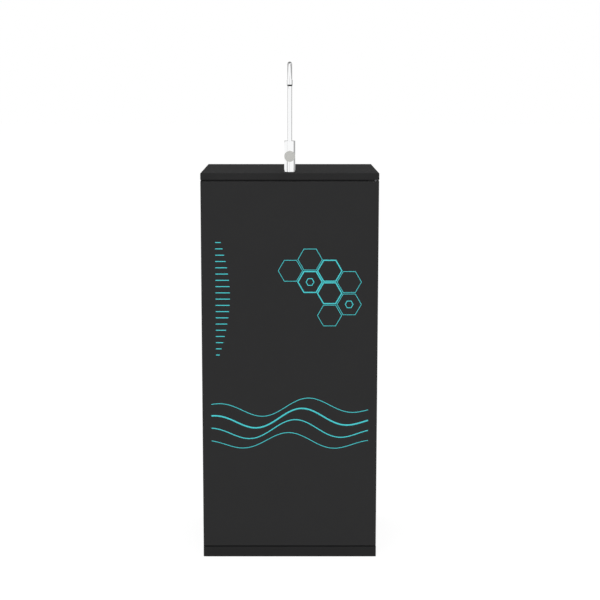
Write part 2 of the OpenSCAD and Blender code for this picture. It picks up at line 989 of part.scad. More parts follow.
module filter_shelf() {
    left_notch = vessel_y - shelf_y - 85;
    right_notch = vessel_y - shelf_y - 20;
    color(steel)
        difference() {
            union() {
                translate([-wall_x, shelf_y, shelf_z])
                    cube([2 * wall_x, shelf_d, shelf_t]);
                translate([-wall_x, shelf_y, shelf_z - shelf_lip])
                    cube([2 * wall_x, shelf_t, shelf_lip]);
                translate([-wall_x, shelf_y, shelf_z - shelf_lip])
                    cube([shelf_t, left_notch, shelf_lip]);
                translate([wall_x - shelf_t, shelf_y, shelf_z - shelf_lip])
                    cube([shelf_t, right_notch, shelf_lip]);
            }
            translate([-wall_x - 1, shelf_y + left_notch, shelf_z - 1])
                cube([wall_x - line_x + 13, shelf_d, shelf_t + 2]);
            translate([line_x - 12, shelf_y + right_notch, shelf_z - 1])
                cube([wall_x - line_x + 13, shelf_d, shelf_t + 2]);
            translate([waste_x, vessel_y, shelf_z - 1])
                cylinder(d = port_d + 8, h = shelf_t + 2);
        }
}

// Head with the threaded skirt that the bowl screws on to, and a port on each side
module filter_head() {
    difference() {
        union() {
            translate([0, 0, -head_pad_h])
                cylinder(d = head_d - 24, h = head_pad_h);
            translate([0, 0, -head_h])
                cylinder(d = head_d, h = head_h - head_pad_h);
            translate([0, 0, -head_h - skirt_l])
                ring(skirt_d, skirt_in, skirt_l);
            translate([0, 0, -head_h - spigot_l])
                cylinder(d = spigot_d, h = spigot_l);
            for (a = [0 : 30 : 359])
                rotate(a)
                    translate([head_d / 2 - 14, -1.5, -head_pad_h - 1])
                        cube([12, 3, 6]);
        }
        translate([0, 0, -head_h - spigot_l - 1])
            cylinder(d = 14, h = spigot_l + 15);
        for (x = [-1, 1])
            translate([0, 0, port_z - shelf_z])
                rotate([0, x * 90, 0])
                    translate([0, 0, head_d / 2 - port_seat])
                        cylinder(d = thread_d + 2 * fit, h = port_seat + 1);
    }
}

module filter_head_1() {
    color(black)
        at_filter(-1, shelf_z)
            filter_head();
}

module filter_head_2() {
    color(black)
        at_filter(0, shelf_z)
            filter_head();
}

module filter_head_3() {
    color(black)
        at_filter(1, shelf_z)
            filter_head();
}

// Half outline of a cup with a rounded foot, from z = -depth up to z = 0
module cup_outline(r, depth, foot_r) {
    translate([0, -depth + foot_r])
        square([r, depth - foot_r]);
    translate([0, -depth])
        square([r - foot_r, depth]);
    translate([r - foot_r, -depth + foot_r])
        circle(r = foot_r);
}

// Bowl hanging from z = 0, with a ribbed screw collar and ribs down its wall
module filter_bowl() {
    difference() {
        union() {
            rotate_extrude()
                cup_outline(bowl_d / 2, bowl_h, 20);
            translate([0, 0, -collar_h])
                cylinder(d = collar_d, h = collar_h);
            for (i = [0 : grip_ribs - 1])
                rotate(i * 360 / grip_ribs)
                    translate([collar_d / 2 - 1, -2, -collar_h])
                        cube([2.5, 4, collar_h - 3]);
            for (i = [0 : bowl_ribs - 1])
                rotate((i + 0.5) * 360 / bowl_ribs)
                    translate([bowl_d / 2 - 1, -1.5, -bowl_h + 30])
                        cube([2.5, 3, bowl_h - collar_h - 38]);
        }
        translate([0, 0, -collar_h + 2])
            cylinder(d = skirt_d + 4 * fit, h = collar_h);
        difference() {
            rotate_extrude()
                cup_outline(bowl_d / 2 - bowl_wall, bowl_h - bowl_wall, 20 - bowl_wall);
            translate([0, 0, -bowl_h])
                ring(cartridge_d, cartridge_d - 8, bowl_wall + locator_h);
        }
    }
}

module filter_bowl_1() {
    color(clear)
        at_filter(-1, rim_z)
            filter_bowl();
}

module filter_bowl_2() {
    color(white)
        at_filter(0, rim_z)
            filter_bowl();
}

module filter_bowl_3() {
    color(white)
        at_filter(1, rim_z)
            filter_bowl();
}

// Filter element between two end caps
module filter_cartridge() {
    difference() {
        union() {
            cylinder(d = cartridge_d, h = cartridge_h);
            for (z = [0, cartridge_h - 5])
                translate([0, 0, z])
                    cylinder(d = cartridge_d + 4, h = 5);
        }
        translate([0, 0, -1])
            cylinder(d = cartridge_bore, h = cartridge_h + 2);
    }
}

module filter_cartridge_1() {
    color(white)
        at_filter(-1, bowl_floor + locator_h)
            filter_cartridge();
}

module filter_cartridge_2() {
    color(white)
        at_filter(0, bowl_floor + locator_h)
            filter_cartridge();
}

module filter_cartridge_3() {
    color(white)
        at_filter(1, bowl_floor + locator_h)
            filter_cartridge();
}

// Seals squeezed between each head's skirt and the step in its bowl
module bowl_seals() {
    color(rubber)
        for (i = [-1 : 1])
            at_filter(i, rim_z - collar_h + 2)
                ring(skirt_d, skirt_in + 6, collar_h - skirt_l - 2.1);
}

// Threaded nipples that join neighbouring heads
module head_nipples() {
    gap = filter_pitch - head_d;
    color(brass)
        for (x = [-filter_pitch / 2, filter_pitch / 2])
            translate([x, filter_y, port_z])
                rotate([0, 90, 0]) {
                    cylinder(d = thread_d, h = gap + 2 * port_seat - 1, center = true);
                    cylinder(d = nipple_hex / cos(30), h = gap - 1, center = true, $fn = 6);
                }
}

// Elbows at both ends of the filter row and of the membrane vessel
module elbow_fittings() {
    stem = elbow_off + port_seat - 0.5;
    vessel_stem = line_x - vessel_boss + port_seat - 0.5;
    color(white) {
        translate([-feed_x, filter_y, port_z])
            rotate([0, 90, 0])
                elbow(stem, [0, 1, 0]);
        translate([feed_x, filter_y, port_z])
            rotate([0, -90, 0])
                elbow(stem, [-1, 0, 0]);
        translate([-line_x, vessel_y, rack_z])
            rotate([0, 90, 0])
                elbow(vessel_stem, [1, 0, 0]);
        translate([line_x, vessel_y, rack_z])
            rotate([0, -90, 0])
                elbow(vessel_stem, [-1, 0, 0]);
    }
}

module along_x(x, y) {
    translate([x, y, rack_z])
        rotate([0, 90, 0])
            children();
}

// Tube closed at the left end, with the permeate boss there and the waste port below
module membrane_vessel() {
    color(white)
        difference() {
            union() {
                along_x(-vessel_l / 2, vessel_y)
                    cylinder(d = vessel_d, h = vessel_l);
                along_x(-vessel_boss, vessel_y)
                    cylinder(d = 22, h = vessel_boss_l + 1);
                translate([waste_x, vessel_y, rack_z])
                    rotate([180, 0, 0])
                        push_port(rack_z - waste_mouth);
            }
            along_x(-vessel_l / 2 + vessel_end, vessel_y)
                cylinder(d = vessel_d - 2 * vessel_wall, h = vessel_l);
            along_x(-vessel_boss - 1, vessel_y)
                cylinder(d = thread_d + 2 * fit, h = port_seat + 1);
        }
}

module membrane_cap() {
    color(white)
        difference() {
            union() {
                along_x(vessel_l / 2 - vessel_cap_l, vessel_y) {
                    cylinder(d = vessel_cap_d, h = vessel_cap_l + vessel_end);
                    for (i = [0 : grip_ribs - 1])
                        rotate(i * 360 / grip_ribs)
                            translate([vessel_cap_d / 2 - 1, -1.5, 3])
                                cube([2, 3, vessel_cap_l]);
                }
                along_x(vessel_l / 2, vessel_y)
                    cylinder(d = 22, h = vessel_boss_l);
            }
            along_x(vessel_l / 2 - vessel_cap_l - 1, vessel_y)
                cylinder(d = vessel_d + 2 * fit, h = vessel_cap_l + 1);
            along_x(vessel_boss - port_seat, vessel_y)
                cylinder(d = thread_d + 2 * fit, h = port_seat + 1);
        }
}

// Wound membrane element with its two end discs
module membrane() {
    l = vessel_l - vessel_end - 0.5;
    d = vessel_d - 2 * vessel_wall;
    color(white)
        along_x(-vessel_l / 2 + vessel_end + 0.2, vessel_y) {
            cylinder(d = d - 8, h = l);
            for (z = [0, l - 6])
                translate([0, 0, z])
                    cylinder(d = d - 2 * fit, h = 6);
        }
}

// In-line filter with rounded ends and a push-fit port at each end
module post_filter(i) {
    along_x(0, post_y[i]) {
        rotate_extrude() {
            translate([0, -post_l / 2 + 10])
                square([post_d / 2, post_l - 20]);
            translate([0, -post_l / 2])
                square([post_d / 2 - 10, post_l]);
            for (z = [-1, 1])
                translate([post_d / 2 - 10, z * (post_l / 2 - 10)])
                    circle(r = 10);
        }
        for (a = [0, 180])
            rotate([a, 0, 0])
                translate([0, 0, post_l / 2])
                    push_port(post_mouth - post_l / 2);
    }
}

module post_filter_1() {
    color(white)
        post_filter(0);
}

module post_filter_2() {
    color(white)
        post_filter(1);
}

module post_filter_3() {
    color(white)
        post_filter(2);
}

// Open clip on a foot that stands on the shelf
module rack_clip(d) {
    difference() {
        union() {
            rotate([0, 90, 0])
                cylinder(d = d + 2 * clip_t, h = clip_w, center = true);
            translate([-clip_w / 2, -12, -rack_lift])
                cube([clip_w, 24, rack_lift]);
        }
        rotate([0, 90, 0])
            cylinder(d = d + 2 * fit, h = clip_w + 2, center = true);
        translate([-clip_w / 2 - 1, -d / 2, d * 0.3])
            cube([clip_w + 2, d, d]);
    }
}

module rack_clips() {
    color(grey)
        for (x = [-clip_x, clip_x]) {
            translate([x, vessel_y, rack_z])
                rack_clip(vessel_d);
            for (y = post_y)
                translate([x, y, rack_z])
                    rack_clip(post_d);
        }
}

// Half outline of a drum with rounded shoulders
module drum_outline(r, h, shoulder) {
    translate([0, shoulder])
        square([r, h - 2 * shoulder]);
    square([r - shoulder, h]);
    for (z = [shoulder, h - shoulder])
        translate([r - shoulder, z])
            circle(r = shoulder);
}

module storage_tank() {
    color(white)
        translate([tank_x, tank_y, tank_z])
            difference() {
                union() {
                    rotate_extrude()
                        drum_outline(tank_d / 2, tank_h, tank_shoulder);
                    translate([0, 0, (tank_h - tank_band_h) / 2])
                        cylinder(d = tank_d + 2 * tank_band_t, h = tank_band_h);
                    translate([0, 0, tank_h - 1])
                        cylinder(d = 40, h = 5);
                    translate([0, 0, tank_h])
                        cylinder(d = 14, h = tank_neck_h);
                }
                translate([0, 0, tank_wall])
                    rotate_extrude()
                        drum_outline(tank_d / 2 - tank_wall, tank_h - 2 * tank_wall,
                            tank_shoulder - tank_wall);
                cylinder(d = 6, h = tank_h + 20);
            }
}

// Ring under the tank on a flanged foot with gussets
module tank_stand() {
    seat_d = tank_d - 2 * tank_shoulder - 4;
    color(black)
        translate([tank_x, tank_y, plinth_h]) {
            ring(seat_d, seat_d - 12, stand_h);
            ring(seat_d + 70, seat_d - 12, 4);
            for (a = [0 : 45 : 359])
                rotate(a)
                    translate([seat_d / 2 - 1, 2, 0])
                        rotate([90, 0, 0])
                            linear_extrude(4)
                                polygon([[0, 0], [31, 0], [31, 5], [0, stand_h - 2]]);
        }
}

// Ball valve on the tank's neck with its port to the rear and its stem hole to the front
module tank_valve() {
    color(white)
        difference() {
            union() {
                translate([tank_x, tank_y, tank_top + 4])
                    cylinder(d = 22, h = valve_at - tank_top + 6);
                translate([tank_x, tank_y, valve_at])
                    toward([0, 1, 0])
                        push_port(tank_port_y - tank_y);
                translate([tank_x, tank_y, valve_at])
                    toward([0, -1, 0])
                        cylinder(d = 13, h = tank_y - lever_y - 0.5);
            }
            translate([tank_x, tank_y, tank_top + 3])
                cylinder(d = 14 + 2 * fit, h = tank_neck_h - 3 + 0.2);
            translate([tank_x, tank_y - 6, valve_at])
                toward([0, -1, 0])
                    cylinder(d = stem_d + 2 * run, h = 20);
        }
}

module tank_lever() {
    color(blue)
        translate([tank_x, lever_y, valve_at]) {
            toward([0, 1, 0])
                cylinder(d = stem_d, h = 8);
            toward([0, -1, 0])
                cylinder(d = 16, h = 7);
            translate([-4, -7, 0])
                cube([8, 4, lever_l]);
            translate([0, -3, lever_l])
                toward([0, -1, 0])
                    cylinder(d = 8, h = 4);
        }
}

module at_pump(y) {
    translate([pump_x, y, pump_z])
        rotate([-90, 0, 0])
            children();
}

// Diaphragm head with its cover screws and two ports on top
module pump_head() {
    color(black) {
        at_pump(pump_y - pump_head_l / 2) {
            cylinder(d = pump_d, h = pump_head_l);
            translate([0, 0, -6])
                cylinder(d = pump_d - 30, h = 7);
            for (a = [30 : 60 : 359])
                rotate(a)
                    translate([pump_d / 2 - 8, 0, -2])
                        cylinder(d = 7, h = 3);
        }
        for (x = [-1, 1])
            translate([pump_x + x * pump_ports / 2, pump_y, pump_z + pump_d / 4])
                push_port(pump_mouth - pump_z - pump_d / 4);
    }
}

module pump_motor() {
    color(steel)
        at_pump(motor_y) {
            cylinder(d = motor_d, h = motor_l);
            cylinder(d = pump_d - 12, h = 4);
            translate([0, 0, motor_l - 1])
                cylinder(d = motor_d / 3, h = 7);
        }
}

// Plate with two saddles that carry the motor
module pump_bracket() {
    color(steel)
        difference() {
            union() {
                translate([pump_x - plate_w / 2, motor_y - 4, plinth_h + mount_h])
                    cube([plate_w, motor_l + 8, plate_t]);
                for (y = saddle_y)
                    translate([pump_x - saddle_w / 2, y - saddle_l / 2, plinth_h + mount_h])
                        cube([saddle_w, saddle_l, saddle_h]);
            }
            at_pump(motor_y - 5)
                cylinder(d = motor_d + 2 * fit, h = motor_l + 20);
            at_pump(motor_y - 5)
                cylinder(d = pump_d - 12 + 2, h = 10);
        }
}

// Waisted rubber mounts between the bracket and the deck
module pump_mounts() {
    color(rubber)
        for (x = [-1, 1], y = mount_y)
            translate([pump_x + x * mount_x, y, plinth_h])
                difference() {
                    cylinder(d = 18, h = mount_h);
                    rotate_extrude()
                        translate([11, mount_h / 2])
                            circle(d = 5);
                }
}

// In-line body along v with a push-fit socket at each end
module inline_body(p, v, l, d) {
    translate(p)
        toward(v) {
            translate([0, 0, l / 2])
                cylinder(d = d, h = l - 2 * socket_l, center = true);
            translate([0, 0, l / 2])
                push_port(l / 2);
            translate([0, 0, l / 2])
                rotate([180, 0, 0])
                    push_port(l / 2);
        }
}

// Feed solenoid on its bracket, pressure switches, flow restrictor and the tank tee
module line_fittings() {
    color(white) {
        inline_body([-feed_x, solenoid_y[0], feed_z], [0, 1, 0], solenoid_l, coil_w);
        translate([-feed_x, coil_y, feed_z])
            cylinder(d = coil_w - 4, h = coil_top);
        translate([-feed_x - coil_w / 2, coil_y - coil_w / 2, feed_z + coil_w / 2 + 1])
            cube([coil_w, coil_w, coil_top - coil_w / 2 - 7]);
        translate([-wall_x, coil_y - 9, feed_z - 3])
            cube([wall_x - feed_x, 18, 6]);
        inline_body([-feed_x, low_switch_y, low_switch_z[0]], [0, 0, 1], switch_l, switch_d);
        inline_body([-line_x, vessel_y, high_switch_z[0]], [0, 0, 1], switch_l, switch_d);
        inline_body([waste_x, vessel_y, restrictor_z[0]], [0, 0, 1], restrictor_l, restrictor_d);
        inline_body([-line_x, vessel_y, tee_z - tee_l / 2], [0, 0, 1], tee_l, port_d + 1);
        translate([-line_x, vessel_y, tee_z])
            toward([0, -1, 0])
                push_port(elbow_l);
    }
}

// Low-voltage supply on the back panel with cooling fins on its face
module power_supply() {
    color(black)
        translate([supply_x, back_y - supply_d, supply_z]) {
            cube([supply_w, supply_d, supply_h]);
            for (i = [1 : 7])
                translate([i * supply_w / 8 - 1.5, -4, 8])
                    cube([3, 5, supply_h - 16]);
            for (z = [-12, supply_h - 1])
                translate([supply_w / 2 - 10, supply_d - 2, z])
                    cube([20, 2, 13]);
        }
}

// Bulkhead connector through the back panel, with the socket for the supply tube outside
module bulkhead(x, z) {
    translate([x, 0, z]) {
        translate([0, rear_y, 0])
            toward([0, 1, 0])
                difference() {
                    union() {
                        cylinder(d = connector_d + 5, h = collar_t);
                        cylinder(d = connector_d, h = connector_l - 2.5);
                        cylinder(d = connector_d - 3, h = connector_l);
                    }
                    translate([0, 0, connector_l - connector_socket])
                        cylinder(d = supply_tube_d + 2 * fit, h = connector_socket + 1);
                }
        translate([0, back_y - 4, 0])
            toward([0, 1, 0])
                cylinder(d = port_d, h = sheet_t + 4 + 1);
        translate([0, back_y - 4, 0])
            toward([0, -1, 0])
                push_port(bulkhead_in - 4);
        translate([0, back_y, 0])
            toward([0, -1, 0])
                cylinder(d = 20 / cos(30), h = 5, $fn = 6);
    }
}

// Feed and drain bulkheads and the grommet for the mains lead
module back_connectors() {
    color(white) {
        bulkhead(-feed_x, feed_z);
        bulkhead(waste_x, drain_z);
        translate([grommet_x, back_y - 2.5, grommet_z])
            toward([0, 1, 0])
                difference() {
                    union() {
                        cylinder(d = port_d, h = sheet_t + 5);
                        cylinder(d = port_d + 6, h = 2.5);
                        translate([0, 0, sheet_t + 2.5])
                            cylinder(d = port_d + 6, h = 2.5);
                    }
                    translate([0, 0, -1])
                        cylinder(d = grommet_d, h = sheet_t + 7);
                }
    }
}

module tubes() {
    elbow_z = port_z - elbow_l + tube_in;
    vessel_mouth = rack_z - elbow_l + tube_in;
    color(clear) {
        // Mains water through the solenoid and low-pressure switch to the first filter
        water_tube([[-feed_x, bulkhead_mouth + tube_in, feed_z],
            [-feed_x, solenoid_y[1] - tube_in, feed_z]]);
        water_tube([[-feed_x, solenoid_y[0] + tube_in, feed_z], [-feed_x, low_switch_y, feed_z],
            [-feed_x, low_switch_y, low_switch_z[0] + tube_in]]);
        water_tube([[-feed_x, low_switch_y, low_switch_z[1] - tube_in], [-feed_x, low_switch_y, port_z],
            [-feed_x, filter_y + elbow_l - tube_in, port_z]]);
        // Third filter to the pump, and the pump to the membrane
        water_tube([[feed_x, filter_y, elbow_z], [feed_x, filter_y, suction_z],
            [pump_x - pump_ports / 2, filter_y, suction_z], [pump_x - pump_ports / 2, pump_y, suction_z],
            [pump_x - pump_ports / 2, pump_y, pump_mouth - tube_in]]);
        water_tube([[pump_x + pump_ports / 2, pump_y, pump_mouth - tube_in],
            [pump_x + pump_ports / 2, pump_y, delivery_z], [pump_x + pump_ports / 2, vessel_y, delivery_z],
            [line_x, vessel_y, delivery_z], [line_x, vessel_y, vessel_mouth]]);
        // Membrane to the tee, and the tee to the tank and the post filters
        water_tube([[-line_x, vessel_y, vessel_mouth], [-line_x, vessel_y, high_switch_z[1] - tube_in]]);
        water_tube([[-line_x, vessel_y, high_switch_z[0] + tube_in],
            [-line_x, vessel_y, tee_z + tee_l / 2 - tube_in]]);
        water_tube([[-line_x, vessel_y, tee_z - tee_l / 2 + tube_in], [-line_x, vessel_y, valve_at],
            [tank_x, vessel_y, valve_at], [tank_x, tank_port_y - tube_in, valve_at]]);
        water_tube([[-line_x, vessel_y - elbow_l + tube_in, tee_z], [-line_x, post_y[0], tee_z],
            [-line_x, post_y[0], rack_z], [-post_mouth + tube_in, post_y[0], rack_z]]);
        // Loops between the post filters, and the last of them to the tap
        for (i = [0, 1])
            mirror([i, 0, 0])
                tube_run([[post_mouth - tube_in, post_y[i], rack_z],
                    [post_mouth + post_pitch / 2, post_y[i], rack_z],
                    [post_mouth + post_pitch / 2, post_y[i + 1], rack_z],
                    [post_mouth - tube_in, post_y[i + 1], rack_z]], tube_d, post_pitch / 2);
        water_tube([[post_mouth - tube_in, post_y[2], rack_z], [line_x, post_y[2], rack_z],
            [line_x, tap_y, rack_z], [0, tap_y, rack_z], [0, tap_y, shank_end - 22 + tube_in]]);
        // Membrane through the flow restrictor to the drain
        water_tube([[waste_x, vessel_y, waste_mouth + tube_in],
            [waste_x, vessel_y, restrictor_z[1] - tube_in]]);
        water_tube([[waste_x, vessel_y, restrictor_z[0] + tube_in], [waste_x, vessel_y, drain_z],
            [waste_x, bulkhead_mouth + tube_in, drain_z]]);
    }
}

// Sheathed leads from the power supply to the pump motor and the solenoid
module cables() {
    motor_end = motor_y + motor_l + 6;
    color(rubber) {
        tube_run([[supply_x + supply_w - 20, cable_y, supply_z], [supply_x + supply_w - 20, cable_y, pump_z],
            [pump_x, cable_y, pump_z], [pump_x, motor_end, pump_z]], cable_d, cable_bend);
        tube_run([[supply_x, cable_y, lead_z], [-feed_x, cable_y, lead_z], [-feed_x, coil_y, lead_z],
            [-feed_x, coil_y, feed_z + coil_top]], cable_d, cable_bend);
    }
}

base_tray();
rubber_feet();
left_panel();
right_panel();
back_panel();
lid();
pivot_pins();
door_seals();
magnet_catches();
screws();
door_glass();
door_panel();
pivot_bushes();
strike_plates();
tap_gasket();
tap_body();
tap_shank();
shank_washer();
shank_nut();
tap_connector();
valve_cartridge();
spout_seals();
spout_tube();
spout_nozzle();
knob();
knob_cap();
valve_stem();
filter_shelf();
filter_head_1();
filter_head_2();
filter_head_3();
filter_bowl_1();
filter_bowl_2();
filter_bowl_3();
filter_cartridge_1();
filter_cartridge_2();
filter_cartridge_3();
bowl_seals();
head_nipples();
elbow_fittings();
membrane_vessel();
membrane_cap();
membrane();
post_filter_1();
post_filter_2();
post_filter_3();
rack_clips();
storage_tank();
tank_stand();
tank_valve();
tank_lever();
pump_head();
pump_motor();
pump_bracket();
pump_mounts();
line_fittings();
power_supply();
back_connectors();
tubes();
cables();
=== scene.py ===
import math

import bpy
from mathutils import Matrix, Vector


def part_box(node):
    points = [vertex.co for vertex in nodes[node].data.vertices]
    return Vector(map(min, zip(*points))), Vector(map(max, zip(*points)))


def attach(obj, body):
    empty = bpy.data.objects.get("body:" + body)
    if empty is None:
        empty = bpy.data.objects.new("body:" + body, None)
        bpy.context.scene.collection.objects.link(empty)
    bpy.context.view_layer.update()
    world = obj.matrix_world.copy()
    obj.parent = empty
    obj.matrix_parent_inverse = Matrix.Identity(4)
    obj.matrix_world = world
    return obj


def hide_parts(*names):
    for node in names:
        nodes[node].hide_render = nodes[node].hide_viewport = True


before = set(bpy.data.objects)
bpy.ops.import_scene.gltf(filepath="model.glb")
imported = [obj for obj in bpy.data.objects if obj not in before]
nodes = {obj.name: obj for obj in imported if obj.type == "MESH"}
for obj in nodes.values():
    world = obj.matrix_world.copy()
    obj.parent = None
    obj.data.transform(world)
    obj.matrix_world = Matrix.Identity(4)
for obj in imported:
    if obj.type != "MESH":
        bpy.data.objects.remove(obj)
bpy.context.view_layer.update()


# Camera: a long lens a little above the lid, square to the door and tipped slightly down,
# as far off as a product photographer stands.
camera_place = (0.0, -3.5929, 1.1645)
camera_tilt = math.radians(81.172)

scene = bpy.context.scene
scene.view_settings.view_transform = "Standard"
lens = bpy.data.cameras.new("camera")
lens.sensor_width = 36.0
lens.lens = 87.6
lens.shift_x = 0.01705
camera = bpy.data.objects.new("camera", lens)
camera.location = camera_place
camera.rotation_euler = (camera_tilt, 0.0, 0.0)
scene.collection.objects.link(camera)
scene.camera = camera


# Studio: a white cove that the camera, the metal and the clear plastic see as plain white, with a
# softer fill for the light itself, a soft box overhead and a wide one beside the camera. Flags behind
# the object and cards in front of it, which only mirrors see, give the chrome its edges and streaks.
def add(tree, kind, inputs=None, **settings):
    """New node with its settings; each input is set to a value or linked from another node's output."""
    node = tree.nodes.new(kind)
    for setting, value in settings.items():
        setattr(node, setting, value)
    for socket, value in (inputs or {}).items():
        if isinstance(value, bpy.types.NodeSocket):
            tree.links.new(value, node.inputs[socket])
        else:
            node.inputs[socket].default_value = value
    return node


def flow(tree, kind, inputs=None, **settings):
    """First output of a new node."""
    return add(tree, kind, inputs, **settings).outputs[0]


def calc(tree, operation, *values):
    """Result of arithmetic on numbers and on the outputs of nodes."""
    return flow(tree, "ShaderNodeMath", dict(enumerate(values)), operation=operation)


def empty_tree(holder):
    """Node tree of a world or a material, with nothing in it."""
    holder.use_nodes = True
    holder.node_tree.nodes.clear()
    return holder.node_tree


def show(tree, light, view, output):
    """Ends a tree with one shader for the light that falls on the object, and another for the camera,
    the mirrors and the clear plastic that look straight at it."""
    ray = add(tree, "ShaderNodeLightPath").outputs
    bright = calc(tree, "MAXIMUM", ray["Is Glossy Ray"], ray["Is Transmission Ray"])
    looking = calc(tree, "MAXIMUM", ray["Is Camera Ray"], bright)
    choice = flow(tree, "ShaderNodeMixShader", {0: looking, 1: light, 2: view})
    add(tree, output, {"Surface": choice})


def stage_sheet(name, corners, paint, mirrors_only=False):
    """Flat sheet of the studio between four corners."""
    mesh = bpy.data.meshes.new(name)
    mesh.from_pydata(corners, [], [(0, 1, 2, 3)])
    mesh.materials.append(paint)
    sheet = bpy.data.objects.new(name, mesh)
    if mirrors_only:
        sheet.visible_camera = sheet.visible_diffuse = False
        sheet.visible_transmission = sheet.visible_shadow = False
    scene.collection.objects.link(sheet)


white = (1.0, 1.0, 1.0, 1.0)
world = bpy.data.worlds.new("white_cove")
tree = empty_tree(world)
fill = flow(tree, "ShaderNodeBackground", {"Color": white, "Strength": 0.55})
cove = flow(tree, "ShaderNodeBackground", {"Color": white, "Strength": 1.0})
show(tree, fill, cove, "ShaderNodeOutputWorld")
scene.world = world

floor_half = 30.0
floor_paint = bpy.data.materials.new("floor_paint")
tree = empty_tree(floor_paint)
bounce = flow(tree, "ShaderNodeBsdfDiffuse", {"Color": (0.8, 0.8, 0.8, 1.0)})
glow = flow(tree, "ShaderNodeEmission", {"Color": white, "Strength": 0.875})
shade = flow(tree, "ShaderNodeBsdfDiffuse", {"Color": (0.24, 0.24, 0.24, 1.0)})
lit = flow(tree, "ShaderNodeAddShader", {0: glow, 1: shade})
show(tree, bounce, lit, "ShaderNodeOutputMaterial")
floor_corners = [(x * floor_half, y * floor_half, 0.0) for x, y in ((-1, -1), (1, -1), (1, 1), (-1, 1))]
stage_sheet("floor", floor_corners, floor_paint)

for name, power, width, depth, place, aim in (
    ("overhead_box", 22.0, 2.6, 2.2, (0.0, -0.5, 3.2), (0.0, 0.0, 0.0)),
    ("front_box", 48.0, 3.4, 2.2, (-0.6, -4.6, 2.1), (math.radians(74.0), 0.0, math.radians(-7.0))),
):
    lamp = bpy.data.lights.new(name, "AREA")
    lamp.shape = "RECTANGLE"
    lamp.size = width
    lamp.size_y = depth
    lamp.energy = power
    box = bpy.data.objects.new(name, lamp)
    box.location = place
    box.rotation_euler = aim
    box.visible_glossy = False
    scene.collection.objects.link(box)

for name, grey, start, end, bottom, top in (
    ("right_flag", 0.42, (2.5, -0.2), (0.85, 2.4), 0.0, 4.6),
    ("left_flag", 0.42, (-2.3, 1.0), (-0.6, 2.4), 0.895, 3.0),
    ("back_flag", 0.2, (-0.7, 3.0), (0.7, 3.0), 1.0, 4.2),
    ("low_card", 0.48, (-2.22, -1.14), (-1.7, -1.9), 0.5, 0.835),
    ("edge_card", 0.85, (-2.12, -1.3), (-1.82, -1.74), 0.835, 0.9),
    ("stand_card", 0.7, (-0.42, -3.9), (0.06, -3.9), 0.4, 0.76),
    ("ceiling_card", 0.72, (-0.9, -2.3), (0.05, -2.3), 2.5, 4.9),
):
    card_paint = bpy.data.materials.new(name)
    tree = empty_tree(card_paint)
    tint = flow(tree, "ShaderNodeEmission", {"Color": (grey, grey, grey, 1.0), "Strength": 1.0})
    add(tree, "ShaderNodeOutputMaterial", {"Surface": tint})
    corners = [(*start, bottom), (*end, bottom), (*end, top), (*start, top)]
    stage_sheet(name, corners, card_paint, mirrors_only=True)


# Base tray and feet: one moulding in black ABS with a spark-eroded grain, on four rubber pads
# pushed into its underside. The tank's stand is moulded in the same plastic.
mm = 0.001


def new_material(name, metallic):
    """Material, its node tree, and the place on the piece that its patterns read."""
    material = bpy.data.materials.new(name)
    material.use_nodes = True
    tree = material.node_tree
    tree.nodes["Principled BSDF"].inputs["Metallic"].default_value = metallic
    return material, tree, add(tree, "ShaderNodeTexCoord").outputs["Object"]


def vary(tree, colour, spread, rough, tone, gloss, ends, relief, depth):
    """Spreads the colour between the ends of a tone pattern and the roughness between those of a gloss
    pattern, and raises a relief depth mm high."""
    ramp = add(tree, "ShaderNodeValToRGB", {"Fac": tone})
    for stop, position, change in zip(ramp.color_ramp.elements, ends, (-spread, spread)):
        stop.position = position
        stop.color = [min(1.0, part * (1.0 + change)) for part in colour] + [1.0]
    shine = flow(tree, "ShaderNodeMapRange", {"Value": gloss, "From Min": ends[0], "From Max": ends[1],
                                              "To Min": rough[0], "To Max": rough[1]})
    bump = flow(tree, "ShaderNodeBump", {"Height": relief, "Strength": 1.0, "Distance": depth * mm})
    shader = tree.nodes["Principled BSDF"].inputs
    tree.links.new(ramp.outputs["Color"], shader["Base Color"])
    tree.links.new(shine, shader["Roughness"])
    tree.links.new(bump, shader["Normal"])


def finish(name, colour, spread, rough, grain, depth, stretch=(1.0, 1.0, 1.0), metallic=0.0, cells=False):
    """Surface in drifting tones of one colour, with uneven gloss and a fine relief depth mm high. grain
    counts its grains in a metre, stretch below 1 draws them out along an axis, and cells makes pebbles."""
    material, tree, place = new_material(name, metallic)
    drawn = flow(tree, "ShaderNodeMapping", {"Vector": place, "Scale": stretch})
    cloud = flow(tree, "ShaderNodeTexNoise", {"Vector": place, "Scale": 14.0, "Detail": 5.0})
    if cells:
        relief = flow(tree, "ShaderNodeTexVoronoi", {"Vector": drawn, "Scale": grain}, feature="SMOOTH_F1")
    else:
        relief = flow(tree, "ShaderNodeTexNoise", {"Vector": drawn, "Scale": grain, "Detail": 3.0})
    relief_share = 0.4
    pattern = flow(tree, "ShaderNodeMix", {0: relief_share, 2: cloud, 3: relief})
    vary(tree, colour, spread, rough, pattern, pattern, (0.3, 0.7), relief, depth)
    return material


def clad(material, *names):
    """Gives the CAD nodes this finish."""
    for name in names:
        nodes[name].material_slots[0].material = material


def tune(material, **sockets):
    """Sets plain values on the material's own shader, with _ for a space in a socket's name."""
    shader = material.node_tree.nodes["Principled BSDF"]
    for socket, value in sockets.items():
        shader.inputs[socket.replace("_", " ")].default_value = value


